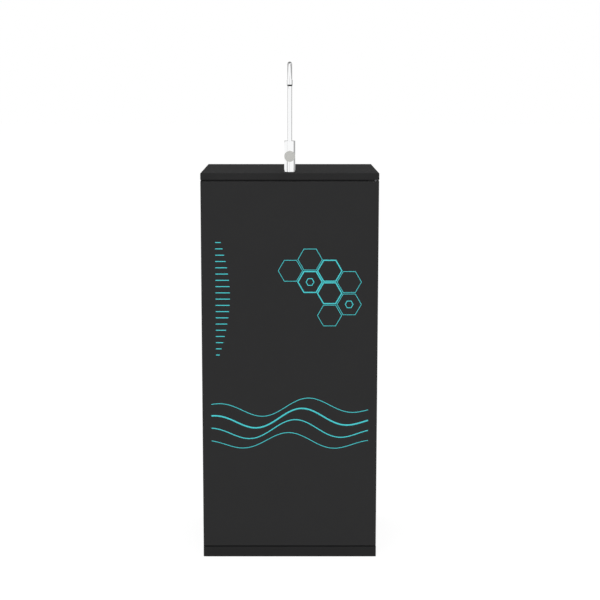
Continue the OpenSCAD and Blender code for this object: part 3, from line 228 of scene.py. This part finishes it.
def soften(width, *names):
    """Rounds the edges of CAD nodes, as a tool or a bend leaves them, so that they catch the light."""
    for name in names:
        weld = nodes[name].modifiers.new("weld", "WELD")
        weld.merge_threshold = 0.005 * mm
        plain = nodes[name].modifiers.new("plain", "DECIMATE")
        plain.decimate_type = "DISSOLVE"
        plain.angle_limit = math.radians(0.5)
        edge = nodes[name].modifiers.new("edge", "BEVEL")
        edge.width = width * mm
        edge.segments = 2
        edge.limit_method = "ANGLE"
        edge.angle_limit = math.radians(50.0)
        edge.harden_normals = True


moulded_black = finish("moulded_black", (0.0178, 0.0178, 0.0182), spread=0.12, rough=(0.55, 0.66),
                       grain=1600.0, depth=0.03)
tune(moulded_black, Specular_IOR_Level=0.15)
clad(moulded_black, "base_tray", "tank_stand")
soften(0.8, "base_tray")

foot_rubber = finish("foot_rubber", (0.02, 0.02, 0.02), spread=0.2, rough=(0.7, 0.85),
                     grain=900.0, depth=0.04)
clad(foot_rubber, "rubber_feet", "tap_gasket", "shank_washer", "spout_seals", "bowl_seals", "pump_mounts")


# Side and back panels: folded sheet steel under black powder coat, which dries with the fine
# pebbling of orange peel. The sides flange over the base and the lid and are screwed to both.
powder_coat = finish("powder_coat", (0.016, 0.016, 0.0165), spread=0.1, rough=(0.42, 0.5), grain=420.0,
                     depth=0.05, cells=True)
tune(powder_coat, Specular_IOR_Level=0.35)
clad(powder_coat, "left_panel", "right_panel", "back_panel")
soften(0.5, "left_panel", "right_panel", "back_panel")


# Shelf and pump bracket: bent zinc-coated sheet, with the spangle of zinc crystals that cooled on
# the steel at different angles, each with a tone and a gloss of its own.
zinc_coat, tree, place = new_material("zinc_coat", metallic=1.0)
crystal = add(tree, "ShaderNodeTexVoronoi", {"Vector": place, "Scale": 90.0}).outputs["Color"]
share = add(tree, "ShaderNodeSeparateColor", {"Color": crystal}).outputs
grit = flow(tree, "ShaderNodeTexNoise", {"Vector": place, "Scale": 600.0, "Detail": 4.0})
vary(tree, (0.5, 0.51, 0.53), spread=0.14, rough=(0.32, 0.5), tone=share["Red"], gloss=share["Green"],
     ends=(0.0, 1.0), relief=grit, depth=0.006)
clad(zinc_coat, "filter_shelf", "pump_bracket")
soften(0.5, "filter_shelf", "pump_bracket")


# Storage tank: blow-moulded white polymer shell with a band round its middle, a white acetal
# valve screwed on its neck, and a blue lever that a quarter turn shuts.
tank_shell = finish("tank_shell", (0.76, 0.78, 0.79), spread=0.03, rough=(0.28, 0.4),
                    grain=240.0, depth=0.03)
clad(tank_shell, "storage_tank")

acetal_white = finish("acetal_white", (0.78, 0.78, 0.76), spread=0.03, rough=(0.34, 0.45),
                      grain=800.0, depth=0.01)
clad(acetal_white, "tank_valve", "pivot_bushes", "tap_connector", "elbow_fittings", "line_fittings",
     "back_connectors")

lever_blue = finish("lever_blue", (0.03, 0.14, 0.5), spread=0.08, rough=(0.3, 0.42),
                    grain=900.0, depth=0.012)
clad(lever_blue, "tank_lever")


# Pump: glass-filled black head with a ring of cover screws, bolted to a plated steel motor can
# that was rolled and brushed along its length.
pump_black = finish("pump_black", (0.022, 0.022, 0.024), spread=0.18, rough=(0.5, 0.66), grain=420.0,
                    depth=0.05, stretch=(1.0, 0.25, 1.0))
clad(pump_black, "pump_head")

motor_can = finish("motor_can", (0.42, 0.43, 0.44), spread=0.1, rough=(0.26, 0.42),
                   grain=900.0, depth=0.004, stretch=(1.0, 0.03, 1.0), metallic=1.0)
clad(motor_can, "pump_motor")


# Filter heads and bowls: ribbed heads in dark blue reinforced plastic, with ribbed bowls that screw
# up against a rubber ring. The first bowl is clear, so that the dirt can be seen; the others are white.
head_blue = finish("head_blue", (0.02, 0.045, 0.11), spread=0.14, rough=(0.38, 0.5),
                   grain=500.0, depth=0.03)
clad(head_blue, "filter_head_1", "filter_head_2", "filter_head_3")

bowl_clear = finish("bowl_clear", (0.86, 0.93, 0.95), spread=0.03, rough=(0.05, 0.1),
                    grain=120.0, depth=0.01)
tune(bowl_clear, Transmission_Weight=1.0, IOR=1.49)
clad(bowl_clear, "filter_bowl_1")

bowl_white = finish("bowl_white", (0.78, 0.78, 0.77), spread=0.03, rough=(0.26, 0.36),
                    grain=260.0, depth=0.02)
clad(bowl_white, "filter_bowl_2", "filter_bowl_3", "membrane_vessel", "membrane_cap",
     "post_filter_1", "post_filter_2", "post_filter_3")


# Brass: nipples turned from bar, which screw the filter heads together, and the same metal in the
# tap's shank, nut and valve, where threads and seats have to last.
turned_brass = finish("turned_brass", (0.62, 0.45, 0.19), spread=0.07, rough=(0.22, 0.34), grain=1200.0,
                      depth=0.004, stretch=(0.1, 0.1, 1.0), metallic=1.0)
clad(turned_brass, "head_nipples", "tap_shank", "shank_nut", "valve_cartridge", "valve_stem")


# Filter cartridges: fibre bodies between moulded end rings. The first is wound from soft cord
# on a perforated core, in crossing turns that show through the clear bowl.
filter_media = finish("filter_media", (0.74, 0.71, 0.64), spread=0.1, rough=(0.8, 0.95),
                      grain=500.0, depth=0.2)
clad(filter_media, "filter_cartridge_1", "filter_cartridge_2", "filter_cartridge_3", "membrane")
wound_cord = finish("wound_cord", (0.8, 0.77, 0.7), spread=0.08, rough=(0.8, 0.95),
                    grain=1400.0, depth=0.12)


def new_tree(name, *sizes, counts=()):
    """Geometry Nodes tree and its inputs: a geometry, a material, and a number for each size and count."""
    tree = bpy.data.node_groups.new(name, "GeometryNodeTree")
    tree.interface.new_socket("Geometry", in_out="OUTPUT", socket_type="NodeSocketGeometry")
    sockets = [("Geometry", "Geometry"), ("Material", "Material")]
    sockets += [(size, "Float") for size in sizes] + [(count, "Int") for count in counts]
    for socket, kind in sockets:
        tree.interface.new_socket(socket, in_out="INPUT", socket_type="NodeSocket" + kind)
    return tree, tree.nodes.new("NodeGroupInput").outputs


def end_tree(tree, geometry, material):
    """Closes a tree: instances become mesh, and the mesh gets its material."""
    real = flow(tree, "GeometryNodeRealizeInstances", {"Geometry": geometry})
    painted = flow(tree, "GeometryNodeSetMaterial", {"Geometry": real, "Material": material})
    add(tree, "NodeGroupOutput", {"Geometry": painted})


def grow(name, kind, values, points=((0.0, 0.0, 0.0),), facing=(), sizes=()):
    """Plain mesh object that the tree of this kind makes on points in mm, each of which has a direction or
    a size of its own where the tree reads one."""
    seed = bpy.data.meshes.new(name)
    seed.from_pydata([tuple(Vector(point) * mm) for point in points], [], [])
    if facing:
        ways = seed.attributes.new("facing", "FLOAT_VECTOR", "POINT")
        ways.data.foreach_set("vector", [part for way in facing for part in way])
    if sizes:
        spans = seed.attributes.new("size", "FLOAT", "POINT")
        spans.data.foreach_set("value", [size * mm for size in sizes])
    carrier = bpy.data.objects.new(name + "_seed", seed)
    grower = carrier.modifiers.new("grow", "NODES")
    grower.node_group = bpy.data.node_groups[kind]
    for item in grower.node_group.interface.items_tree:
        if item.in_out == "INPUT" and item.name in values:
            grower[item.identifier] = values[item.name]
    scene.collection.objects.link(carrier)
    made = bpy.data.meshes.new_from_object(carrier.evaluated_get(bpy.context.evaluated_depsgraph_get()))
    bpy.data.objects.remove(carrier)
    piece = bpy.data.objects.new(name, made)
    scene.collection.objects.link(piece)
    return piece


def times(tree, first, second):
    """Product of two numbers or outputs."""
    return calc(tree, "MULTIPLY", first, second)


def xyz(tree, **parts):
    """Vector with the given X, Y and Z, and 0 for the rest."""
    return flow(tree, "ShaderNodeCombineXYZ", parts)


def sweep(tree, path, section, capped=False):
    """Mesh that a section leaves along a path."""
    return flow(tree, "GeometryNodeCurveToMesh",
                {"Curve": path, "Profile Curve": section, "Fill Caps": capped})


def join(tree, *parts):
    """All the parts as one geometry."""
    whole = add(tree, "GeometryNodeJoinGeometry")
    for part in parts:
        tree.links.new(part, whole.inputs[0])
    return whole.outputs[0]


tree, size = new_tree("cord_winding", "Radius", "Height", "Turns", "Cord", counts=["Starts"])
cord_radius = times(tree, size["Cord"], 0.5)
section = flow(tree, "GeometryNodeCurvePrimitiveCircle", {"Resolution": 6, "Radius": cord_radius})
starts = flow(tree, "GeometryNodePoints", {"Count": size["Starts"]})
step = calc(tree, "DIVIDE", math.tau, size["Starts"])
turn = times(tree, flow(tree, "GeometryNodeInputIndex"), step)
layers = []
for reverse in (False, True):
    helix = flow(tree, "GeometryNodeCurveSpiral",
                 {"Resolution": 28, "Rotations": size["Turns"], "Start Radius": size["Radius"],
                  "End Radius": size["Radius"], "Height": size["Height"], "Reverse": reverse})
    cord = sweep(tree, helix, section, capped=True)
    layers.append(flow(tree, "GeometryNodeInstanceOnPoints",
                       {"Points": starts, "Instance": cord, "Rotation": xyz(tree, Z=turn)}))
end_tree(tree, join(tree, *layers), size["Material"])

end_ring = 6.0 * mm
low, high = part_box("filter_cartridge_1")
winding = grow("cartridge_winding", "cord_winding",
               {"Radius": 31.1 * mm, "Height": high.z - low.z - 2 * end_ring, "Turns": 6.0, "Starts": 10,
                "Cord": 3.2 * mm, "Material": wound_cord})
winding.data.transform(Matrix.Translation(((low.x + high.x) / 2, (low.y + high.y) / 2, low.z + end_ring)))
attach(winding, "cabinet_body")


# Lines: clear-white polyethylene tube pushed into acetal fittings, and thin black leads from the
# power supply to the pump and the feed valve.
tube_plastic = finish("tube_plastic", (0.74, 0.78, 0.8), spread=0.04, rough=(0.28, 0.38),
                      grain=300.0, depth=0.01)
tune(tube_plastic, Transmission_Weight=0.3, IOR=1.5)
clad(tube_plastic, "tubes")

cable_sheath = finish("cable_sheath", (0.02, 0.02, 0.021), spread=0.2, rough=(0.48, 0.6),
                      grain=1200.0, depth=0.02)
clad(cable_sheath, "cables")


# Power supply: a closed case in black moulded plastic with cooling fins on its face, held to the
# back panel by a lug above and one below.
supply_black = finish("supply_black", (0.024, 0.024, 0.026), spread=0.15, rough=(0.45, 0.6), grain=1300.0,
                      depth=0.03)
clad(supply_black, "power_supply")
soften(0.8, "power_supply")


# Clips and catches: grey moulded plastic. Open clips on the shelf hold the membrane and the post
# filters, and the magnets that hold the door shut sit in the catches.
clip_grey = finish("clip_grey", (0.3, 0.31, 0.32), spread=0.06, rough=(0.42, 0.54),
                   grain=900.0, depth=0.02)
clad(clip_grey, "magnet_catches", "rack_clips")
soften(0.4, "magnet_catches", "rack_clips")


# Collets: a grey sleeve in the mouth of each socket grips the tube, and lets it go when its collar
# is pressed. On the rear connectors a wider ring around the end locks the collet.

# The collar's bore against the sleeve's, then its height and its place as shares of the stand.
collar_bore = 1.1
collar_share = 0.4
collar_lift = 0.53


def hoop(tree, outer, inner, height, steps):
    """Flat-sided ring of these diameters."""
    middle = times(tree, calc(tree, "ADD", outer, inner), 0.25)
    wall = times(tree, calc(tree, "SUBTRACT", outer, inner), 0.5)
    path = flow(tree, "GeometryNodeCurvePrimitiveCircle", {"Resolution": steps, "Radius": middle})
    section = flow(tree, "GeometryNodeCurvePrimitiveQuadrilateral", {"Width": wall, "Height": height})
    return sweep(tree, path, section)


def moved(tree, geometry, **way):
    """The geometry, shifted along X, Y or Z."""
    return flow(tree, "GeometryNodeTransform", {"Geometry": geometry, "Translation": xyz(tree, **way)})


def set_out(tree, points, piece):
    """The piece on each point, with its Z along the point's direction."""
    facing = flow(tree, "GeometryNodeInputNamedAttribute", {"Name": "facing"}, data_type="FLOAT_VECTOR")
    turned = flow(tree, "FunctionNodeAlignRotationToVector", {"Vector": facing}, axis="Z")
    return flow(tree, "GeometryNodeInstanceOnPoints",
                {"Points": points, "Instance": piece, "Rotation": turned})


tree, size = new_tree("collet", "Bore", "Sleeve", "Collar", "Stand")
sleeve = hoop(tree, size["Sleeve"], size["Bore"], size["Stand"], 36)
sleeve = moved(tree, sleeve, Z=times(tree, size["Stand"], 0.5))
wrap = times(tree, size["Bore"], collar_bore)
collar = hoop(tree, size["Collar"], wrap, times(tree, size["Stand"], collar_share), 36)
collar = moved(tree, collar, Z=times(tree, size["Stand"], collar_lift + collar_share / 2))
end_tree(tree, set_out(tree, size["Geometry"], join(tree, sleeve, collar)), size["Material"])

up, down, front, back = (0, 0, 1), (0, 0, -1), (0, -1, 0), (0, 1, 0)
# The mouth of each socket in mm, and the way that it faces.
mouths = [
    ((-175.0, 144.8, 570.0), front), ((-175.0, 120.8, 570.0), back), ((-175.0, 82.8, 570.0), front),
    ((-175.0, -29.0, 632.0), down), ((-175.0, -29.0, 670.0), up), ((-175.0, -66.0, 727.0), back),
    ((175.0, -84.0, 709.0), down), ((105.0, -28.0, 140.0), up), ((149.0, -28.0, 140.0), up),
    ((193.0, 120.0, 777.0), down), ((-193.0, 120.0, 777.0), down), ((-193.0, 120.0, 703.0), up),
    ((-193.0, 120.0, 665.0), down), ((-193.0, 120.0, 471.0), up), ((-193.0, 120.0, 439.0), down),
    ((-193.0, 102.0, 455.0), front), ((-75.0, 39.0, 409.0), back), ((0.0, -130.0, 866.5), down),
    ((-130.0, 120.0, 745.0), down), ((-130.0, 120.0, 678.0), up), ((-130.0, 120.0, 630.0), down),
    ((-130.0, 144.8, 510.0), front),
]
rack_half = 170.0
rack_height = 795.0
mouths += [((side * rack_half, y, rack_height), (side, 0, 0))
           for y in (55.0, -3.0, -61.0) for side in (-1, 1)]
collets = grow("tube_collets", "collet", {"Bore": 6.5 * mm, "Sleeve": 8.6 * mm, "Collar": 10.4 * mm,
                                          "Stand": 2.6 * mm, "Material": clip_grey}, *zip(*mouths))
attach(collets, "cabinet_body")

rear_ends = [((-175.0, 185.55, 570.0), back), ((-130.0, 185.55, 510.0), back)]
lock_rings = grow("rear_lock_rings", "collet", {"Bore": 14.2 * mm, "Sleeve": 16.2 * mm, "Collar": 16.9 * mm,
                                                "Stand": 2.3 * mm, "Material": clip_grey}, *zip(*rear_ends))
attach(lock_rings, "cabinet_body")


# Door: a black moulded panel with a ribbed back and a finger groove, turning on pins in white
# bushes, held shut by steel strikes on magnet catches against black rubber strips.
clad(moulded_black, "door_panel")
soften(0.6, "door_panel")

seal_rubber = finish("seal_rubber", (0.016, 0.016, 0.016), spread=0.15, rough=(0.6, 0.75),
                     grain=700.0, depth=0.03)
clad(seal_rubber, "door_seals")

bright_zinc = finish("bright_zinc", (0.62, 0.63, 0.65), spread=0.06, rough=(0.22, 0.36), grain=1400.0,
                     depth=0.003, stretch=(1.0, 1.0, 0.08), metallic=1.0)
clad(bright_zinc, "strike_plates")

black_oxide = finish("black_oxide", (0.14, 0.14, 0.15), spread=0.12, rough=(0.35, 0.5), grain=1200.0,
                     depth=0.004, metallic=1.0)
clad(black_oxide, "pivot_pins")


# Door face: toughened glass with black ceramic printed on its back and a satin etch in front,
# bonded to the panel all over.
etched_glass = finish("etched_glass", (0.0125, 0.0125, 0.013), spread=0.1, rough=(0.36, 0.42),
                      grain=1800.0, depth=0.004)
tune(etched_glass, Specular_IOR_Level=0.24)
clad(etched_glass, "door_glass")


# Print on the face: turquoise ink in thin lines of even thickness, screened on the glass. Water
# lines cross its lower third, cells gather at the upper right and a scale of dashes stands at the left.
turquoise_ink = finish("turquoise_ink", (0.07, 0.75, 0.79), spread=0.05, rough=(0.42, 0.52), grain=1500.0,
                       depth=0.01)
ink_depth = 0.08 * mm
face_y = -170.0 * mm
end_calm = 0.7


def straight(tree, half_length):
    """Straight path along X, with the origin at its middle."""
    end = xyz(tree, X=half_length)
    start = flow(tree, "ShaderNodeVectorMath", {0: end, 3: -1.0}, operation="SCALE")
    return flow(tree, "GeometryNodeCurvePrimitiveLine", {"Start": start, "End": end})


def stroke(tree, path, line, depth, capped=False):
    """Line of even width and depth along a flat path."""
    flat = flow(tree, "GeometryNodeSetCurveNormal", {"Curve": path}, mode="Z_UP")
    nib = flow(tree, "GeometryNodeCurvePrimitiveQuadrilateral", {"Width": line, "Height": depth})
    return sweep(tree, flat, nib, capped)


def hexagons(tree, points, line, depth):
    """Outline of a hexagon on each point, as large as the point's size."""
    corners = flow(tree, "GeometryNodeMeshCircle", {"Vertices": 6, "Radius": 1.0})
    scale = flow(tree, "GeometryNodeInputNamedAttribute", {"Name": "size"}, data_type="FLOAT")
    sized = flow(tree, "GeometryNodeInstanceOnPoints",
                 {"Points": points, "Instance": corners, "Scale": scale})
    real = flow(tree, "GeometryNodeRealizeInstances", {"Geometry": sized})
    return stroke(tree, flow(tree, "GeometryNodeMeshToCurve", {"Mesh": real}), line, depth)


def comb_place(radius, column, row):
    """Middle of a cell in a honeycomb of cells of this radius."""
    return Vector((column * radius * 1.5, (row + column * 0.5) * (radius * math.sqrt(3.0)), 0.0))


def print_on_face(piece, x, z):
    """Stands a flat print upright on the door's face, with its own origin at x and z in mm."""
    place = Matrix.Translation((x * mm, face_y - ink_depth / 2, z * mm))
    piece.data.transform(place @ Matrix.Rotation(math.pi / 2, 4, "X"))
    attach(piece, "door_body")


tree, size = new_tree("water_line", "Half length", "Swell", "Wavelength", "Phase", "Line", "Ink")
path = flow(tree, "GeometryNodeResampleCurve", {"Curve": straight(tree, size["Half length"]), "Count": 220})
x = flow(tree, "ShaderNodeSeparateXYZ", {0: flow(tree, "GeometryNodeInputPosition")})
angle = calc(tree, "MULTIPLY_ADD", calc(tree, "DIVIDE", x, size["Wavelength"]), math.tau, size["Phase"])
reach = calc(tree, "DIVIDE", x, size["Half length"])
calm = calc(tree, "MULTIPLY_ADD", times(tree, reach, reach), -end_calm, 1.0)
swing = times(tree, times(tree, calc(tree, "SINE", angle), calm), size["Swell"])
bent = flow(tree, "GeometryNodeSetPosition", {"Geometry": path, "Offset": xyz(tree, Y=swing)})
end_tree(tree, stroke(tree, bent, size["Line"], size["Ink"], capped=True), size["Material"])

for number, (z, swell, phase, line) in enumerate((
    (372.0, 24.0, 0.3, 1.6), (344.0, 26.0, 0.75, 3.6), (316.0, 26.0, 1.2, 2.4), (288.0, 22.0, 1.65, 1.6),
), start=1):
    wave = grow(f"water_line_{number}", "water_line",
                {"Half length": 188.0 * mm, "Swell": swell * mm, "Wavelength": 236.0 * mm, "Phase": phase,
                 "Line": line * mm, "Ink": ink_depth, "Material": turquoise_ink})
    print_on_face(wave, 0.0, z)

tree, size = new_tree("cell_outline", "Line", "Ink")
end_tree(tree, hexagons(tree, size["Geometry"], size["Line"], size["Ink"]), size["Material"])

cell_radius = 31.0
cell_fill = 0.93
comb_x, comb_z = 48.0, 676.0
for name, cells, line, shrink in (
    ("bold_cells", ((0, 0), (1, 0), (1, -1)), 3.2, cell_fill),
    ("fine_cells", ((0, 1), (2, -1), (2, -2), (-1, 1), (1, -2)), 1.5, cell_fill),
    ("cell_cores", ((0, 0), (2, -2)), 2.2, 0.3),
):
    outline = grow(name, "cell_outline", {"Line": line * mm, "Ink": ink_depth, "Material": turquoise_ink},
                   [comb_place(cell_radius, *cell) for cell in cells],
                   sizes=[cell_radius * shrink] * len(cells))
    print_on_face(outline, comb_x, comb_z)

tree, size = new_tree("dash_scale", "Pitch", "Shortest", "Longest", "Line", "Ink", counts=["Count"])
ladder = flow(tree, "GeometryNodeMeshLine", {"Count": size["Count"], "Offset": xyz(tree, Y=size["Pitch"])})
share = calc(tree, "DIVIDE", flow(tree, "GeometryNodeInputIndex"), size["Count"])
bow = calc(tree, "SINE", times(tree, share, math.pi))
length = flow(tree, "ShaderNodeMapRange",
              {"Value": bow, "To Min": size["Shortest"], "To Max": size["Longest"]})
bar = flow(tree, "GeometryNodeMeshCube", {"Size": xyz(tree, X=1.0, Y=size["Line"], Z=size["Ink"])})
bar = moved(tree, bar, X=0.5)
row = flow(tree, "GeometryNodeInstanceOnPoints",
           {"Points": ladder, "Instance": bar, "Scale": xyz(tree, X=length, Y=1.0, Z=1.0)})
end_tree(tree, row, size["Material"])

scale_x, scale_z = -176.0, 500.0
dashes = grow("level_dashes", "dash_scale",
              {"Count": 19, "Pitch": 15.0 * mm, "Shortest": 9.0 * mm, "Longest": 34.0 * mm,
               "Line": 2.0 * mm, "Ink": ink_depth, "Material": turquoise_ink})
print_on_face(dashes, scale_x, scale_z)


# Lid: one moulding in the same grained black with a boss for the tap, its colour painted a touch paler
# than the base's as painted light for the light its top catches. It is screwed from below through the
# flanges of the sides. Mirrors look through it, so that the chrome foot of the tap shows the white cove.
# Painted light: the same black as the base, made paler to stand in for the light on the lid.
lid_black_painted_light = finish("lid_black_painted_light", (0.0296, 0.0296, 0.03), spread=0.12, rough=(0.82, 0.92),
                   grain=1500.0, depth=0.03)
tune(lid_black_painted_light, Specular_IOR_Level=0.03)
clad(lid_black_painted_light, "lid")
soften(1.0, "lid")
nodes["lid"].visible_glossy = False


# Back panel's foot: a strip of closed foam, stuck along the panel's lower edge, fills the slit above
# the base so that no light or dust comes in there.
foam_black = finish("foam_black", (0.014, 0.014, 0.014), spread=0.25, rough=(0.9, 1.0),
                    grain=900.0, depth=0.15, cells=True)
tune(foam_black, Specular_IOR_Level=0.1)

tree, size = new_tree("rounded_strip", "Half length", "Thickness", "Height", "Round")
run = flow(tree, "GeometryNodeSetCurveNormal", {"Curve": straight(tree, size["Half length"])}, mode="Z_UP")
section = flow(tree, "GeometryNodeCurvePrimitiveQuadrilateral",
               {"Width": size["Thickness"], "Height": size["Height"]})
section = flow(tree, "GeometryNodeFilletCurve", {"Curve": section, "Radius": size["Round"], "Count": 4},
               mode="POLY")
strip = sweep(tree, run, section, capped=True)
placed = flow(tree, "GeometryNodeInstanceOnPoints", {"Points": size["Geometry"], "Instance": strip})
end_tree(tree, placed, size["Material"])

foam_place = (0.0, 166.75, 28.55)
back_foam = grow("back_foam", "rounded_strip",
                 {"Half length": 193.0 * mm, "Thickness": 4.0 * mm, "Height": 7.0 * mm, "Round": 1.2 * mm,
                  "Material": foam_black}, [foam_place])
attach(back_foam, "cabinet_body")


# Door buffers: two small rubber pads, bonded to the door's top edge at its ends, which keep it from
# rattling and close the ends of the gap under the lid.
buffer_places = [(-207.6, -160.5, 915.55), (207.2, -160.5, 915.55)]
buffers = grow("top_buffers", "rounded_strip",
               {"Half length": 1.9 * mm, "Thickness": 5.0 * mm, "Height": 3.3 * mm, "Round": 0.6 * mm,
                "Material": seal_rubber}, buffer_places)
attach(buffers, "door_body")


# Screws: zinc-plated pan heads with a cross recess, four up through the lid's flanges, four down
# into the base, five down each edge of the back panel and a ring of six on the pump's cover.

# Shares of the head: the rim's height, the crown's radius, the recess's reach, width and place.
rim_share = 0.4
crown_share = 0.34
slot_reach = 0.56
slot_width = 0.14
slot_lift = 1.05

tree, size = new_tree("pan_head_screw", "Head", "Height", "Shank", "Length")
head_radius = times(tree, size["Head"], 0.5)
rim_height = times(tree, size["Height"], rim_share)
rim = flow(tree, "GeometryNodeMeshCylinder", {"Vertices": 32, "Radius": head_radius, "Depth": rim_height})
rim = moved(tree, rim, Z=times(tree, size["Height"], rim_share / 2))
dome = flow(tree, "GeometryNodeMeshCone",
            {"Vertices": 32, "Radius Top": times(tree, size["Head"], crown_share),
             "Radius Bottom": head_radius, "Depth": times(tree, size["Height"], 1.0 - rim_share)})
dome = moved(tree, dome, Z=rim_height)
shank = flow(tree, "GeometryNodeMeshCylinder",
             {"Vertices": 20, "Radius": times(tree, size["Shank"], 0.5), "Depth": size["Length"]})
shank = moved(tree, shank, Z=times(tree, size["Length"], -0.5))
blank = add(tree, "GeometryNodeMeshBoolean", operation="UNION", solver="EXACT")
for part in (rim, dome, shank):
    tree.links.new(part, blank.inputs["Mesh 2"])
screw = add(tree, "GeometryNodeMeshBoolean", {"Mesh 1": blank.outputs[0]},
            operation="DIFFERENCE", solver="EXACT")
for along, across in ((slot_reach, slot_width), (slot_width, slot_reach)):
    bar_size = xyz(tree, X=times(tree, size["Head"], along), Y=times(tree, size["Head"], across),
                   Z=size["Height"])
    bar = flow(tree, "GeometryNodeMeshCube", {"Size": bar_size})
    bar = moved(tree, bar, Z=times(tree, size["Height"], slot_lift))
    tree.links.new(bar, screw.inputs["Mesh 2"])
end_tree(tree, set_out(tree, size["Geometry"], screw.outputs[0]), size["Material"])

flange_x = 201.3
deck_height, lid_height = 26.2, 916.8
back_y = 170.0
edge_foot, edge_pitch = 55.0, 208.25
case_places = [((side * flange_x, y, z), way) for side in (-1, 1) for y in (-109.0, 130.0)
               for z, way in ((deck_height, up), (lid_height, down))]
back_places = [((side * flange_x, back_y, edge_foot + i * edge_pitch), back)
               for side in (-1, 1) for i in range(5)]
for name, places, length in (("case_screws", case_places, 10.0), ("back_screws", back_places, 6.0)):
    screws = grow(name, "pan_head_screw", {"Head": 7.5 * mm, "Height": 2.4 * mm, "Shank": 4.0 * mm,
                                           "Length": length * mm, "Material": bright_zinc}, *zip(*places))
    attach(screws, "cabinet_body")
    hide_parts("screws")

pump_x, pump_z = 127.0, 81.0
cover_front = -54.0
ring_radius = 37.0
cover_places = []
for i in range(6):
    angle = math.radians(30.0 + 60.0 * i)
    place = (pump_x + ring_radius * math.cos(angle), cover_front, pump_z + ring_radius * math.sin(angle))
    cover_places.append((place, front))
cover_screws = grow("pump_cover_screws", "pan_head_screw",
                    {"Head": 5.8 * mm, "Height": 1.9 * mm, "Shank": 3.0 * mm, "Length": 2.0 * mm,
                     "Material": bright_zinc}, *zip(*cover_places))
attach(cover_screws, "cabinet_body")


# Tap: a turned and chromed body on a rubber ring, with a bent tube that swings in two seals, a
# nozzle at its end and a chromed knob capped by a satin disc.
chrome_plate = finish("chrome_plate", (0.94, 0.945, 0.95), spread=0.012, rough=(0.03, 0.07), grain=300.0,
                      depth=0.0005, metallic=1.0)
clad(chrome_plate, "tap_body", "spout_tube", "spout_nozzle", "knob")

satin_disc = finish("satin_disc", (0.625, 0.625, 0.598), spread=0.03, rough=(0.5, 0.62), grain=1600.0,
                    depth=0.003, stretch=(1.0, 1.0, 0.06))
clad(satin_disc, "knob_cap")


# Aerator: a black moulded honeycomb in a ring, with a strainer behind it, pushed into the nozzle's
# mouth to part the jet into fine streams.

# Shares of the ring's depth: the honeycomb, the strainer and how far back it sits.
comb_share = 0.7
strainer_share = 0.2
strainer_drop = 0.35

tree, size = new_tree("aerator", "Outside", "Inside", "Depth", "Bar")
ring = hoop(tree, size["Outside"], size["Inside"], size["Depth"], 48)
comb = hexagons(tree, size["Geometry"], size["Bar"], times(tree, size["Depth"], comb_share))
strainer_radius = times(tree, calc(tree, "ADD", size["Outside"], size["Inside"]), 0.25)
strainer = flow(tree, "GeometryNodeMeshCylinder",
                {"Vertices": 48, "Radius": strainer_radius,
                 "Depth": times(tree, size["Depth"], strainer_share)})
strainer = moved(tree, strainer, Z=times(tree, size["Depth"], -strainer_drop))
end_tree(tree, join(tree, ring, comb, strainer), size["Material"])

hole_radius = 0.8
comb_reach = 3.1
streams = [comb_place(hole_radius, i, j) for i in range(-3, 4) for j in range(-3, 4)]
streams = [place for place in streams if place.length < comb_reach]
aerator = grow("aerator", "aerator",
               {"Outside": 9.4 * mm, "Inside": 7.6 * mm, "Depth": 1.0 * mm, "Bar": 0.22 * mm,
                "Material": moulded_black}, streams, sizes=[hole_radius * cell_fill] * len(streams))
bend_end = Matrix.Translation(Vector((0.0, -245.23, 1148.944)) * mm)
jet_turn = Matrix.Rotation(math.radians(157.0), 4, "X")
mouth = Matrix.Translation((0.0, 0.0, 11.8 * mm))
aerator.data.transform(bend_end @ jet_turn @ mouth)
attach(aerator, "spout_body")
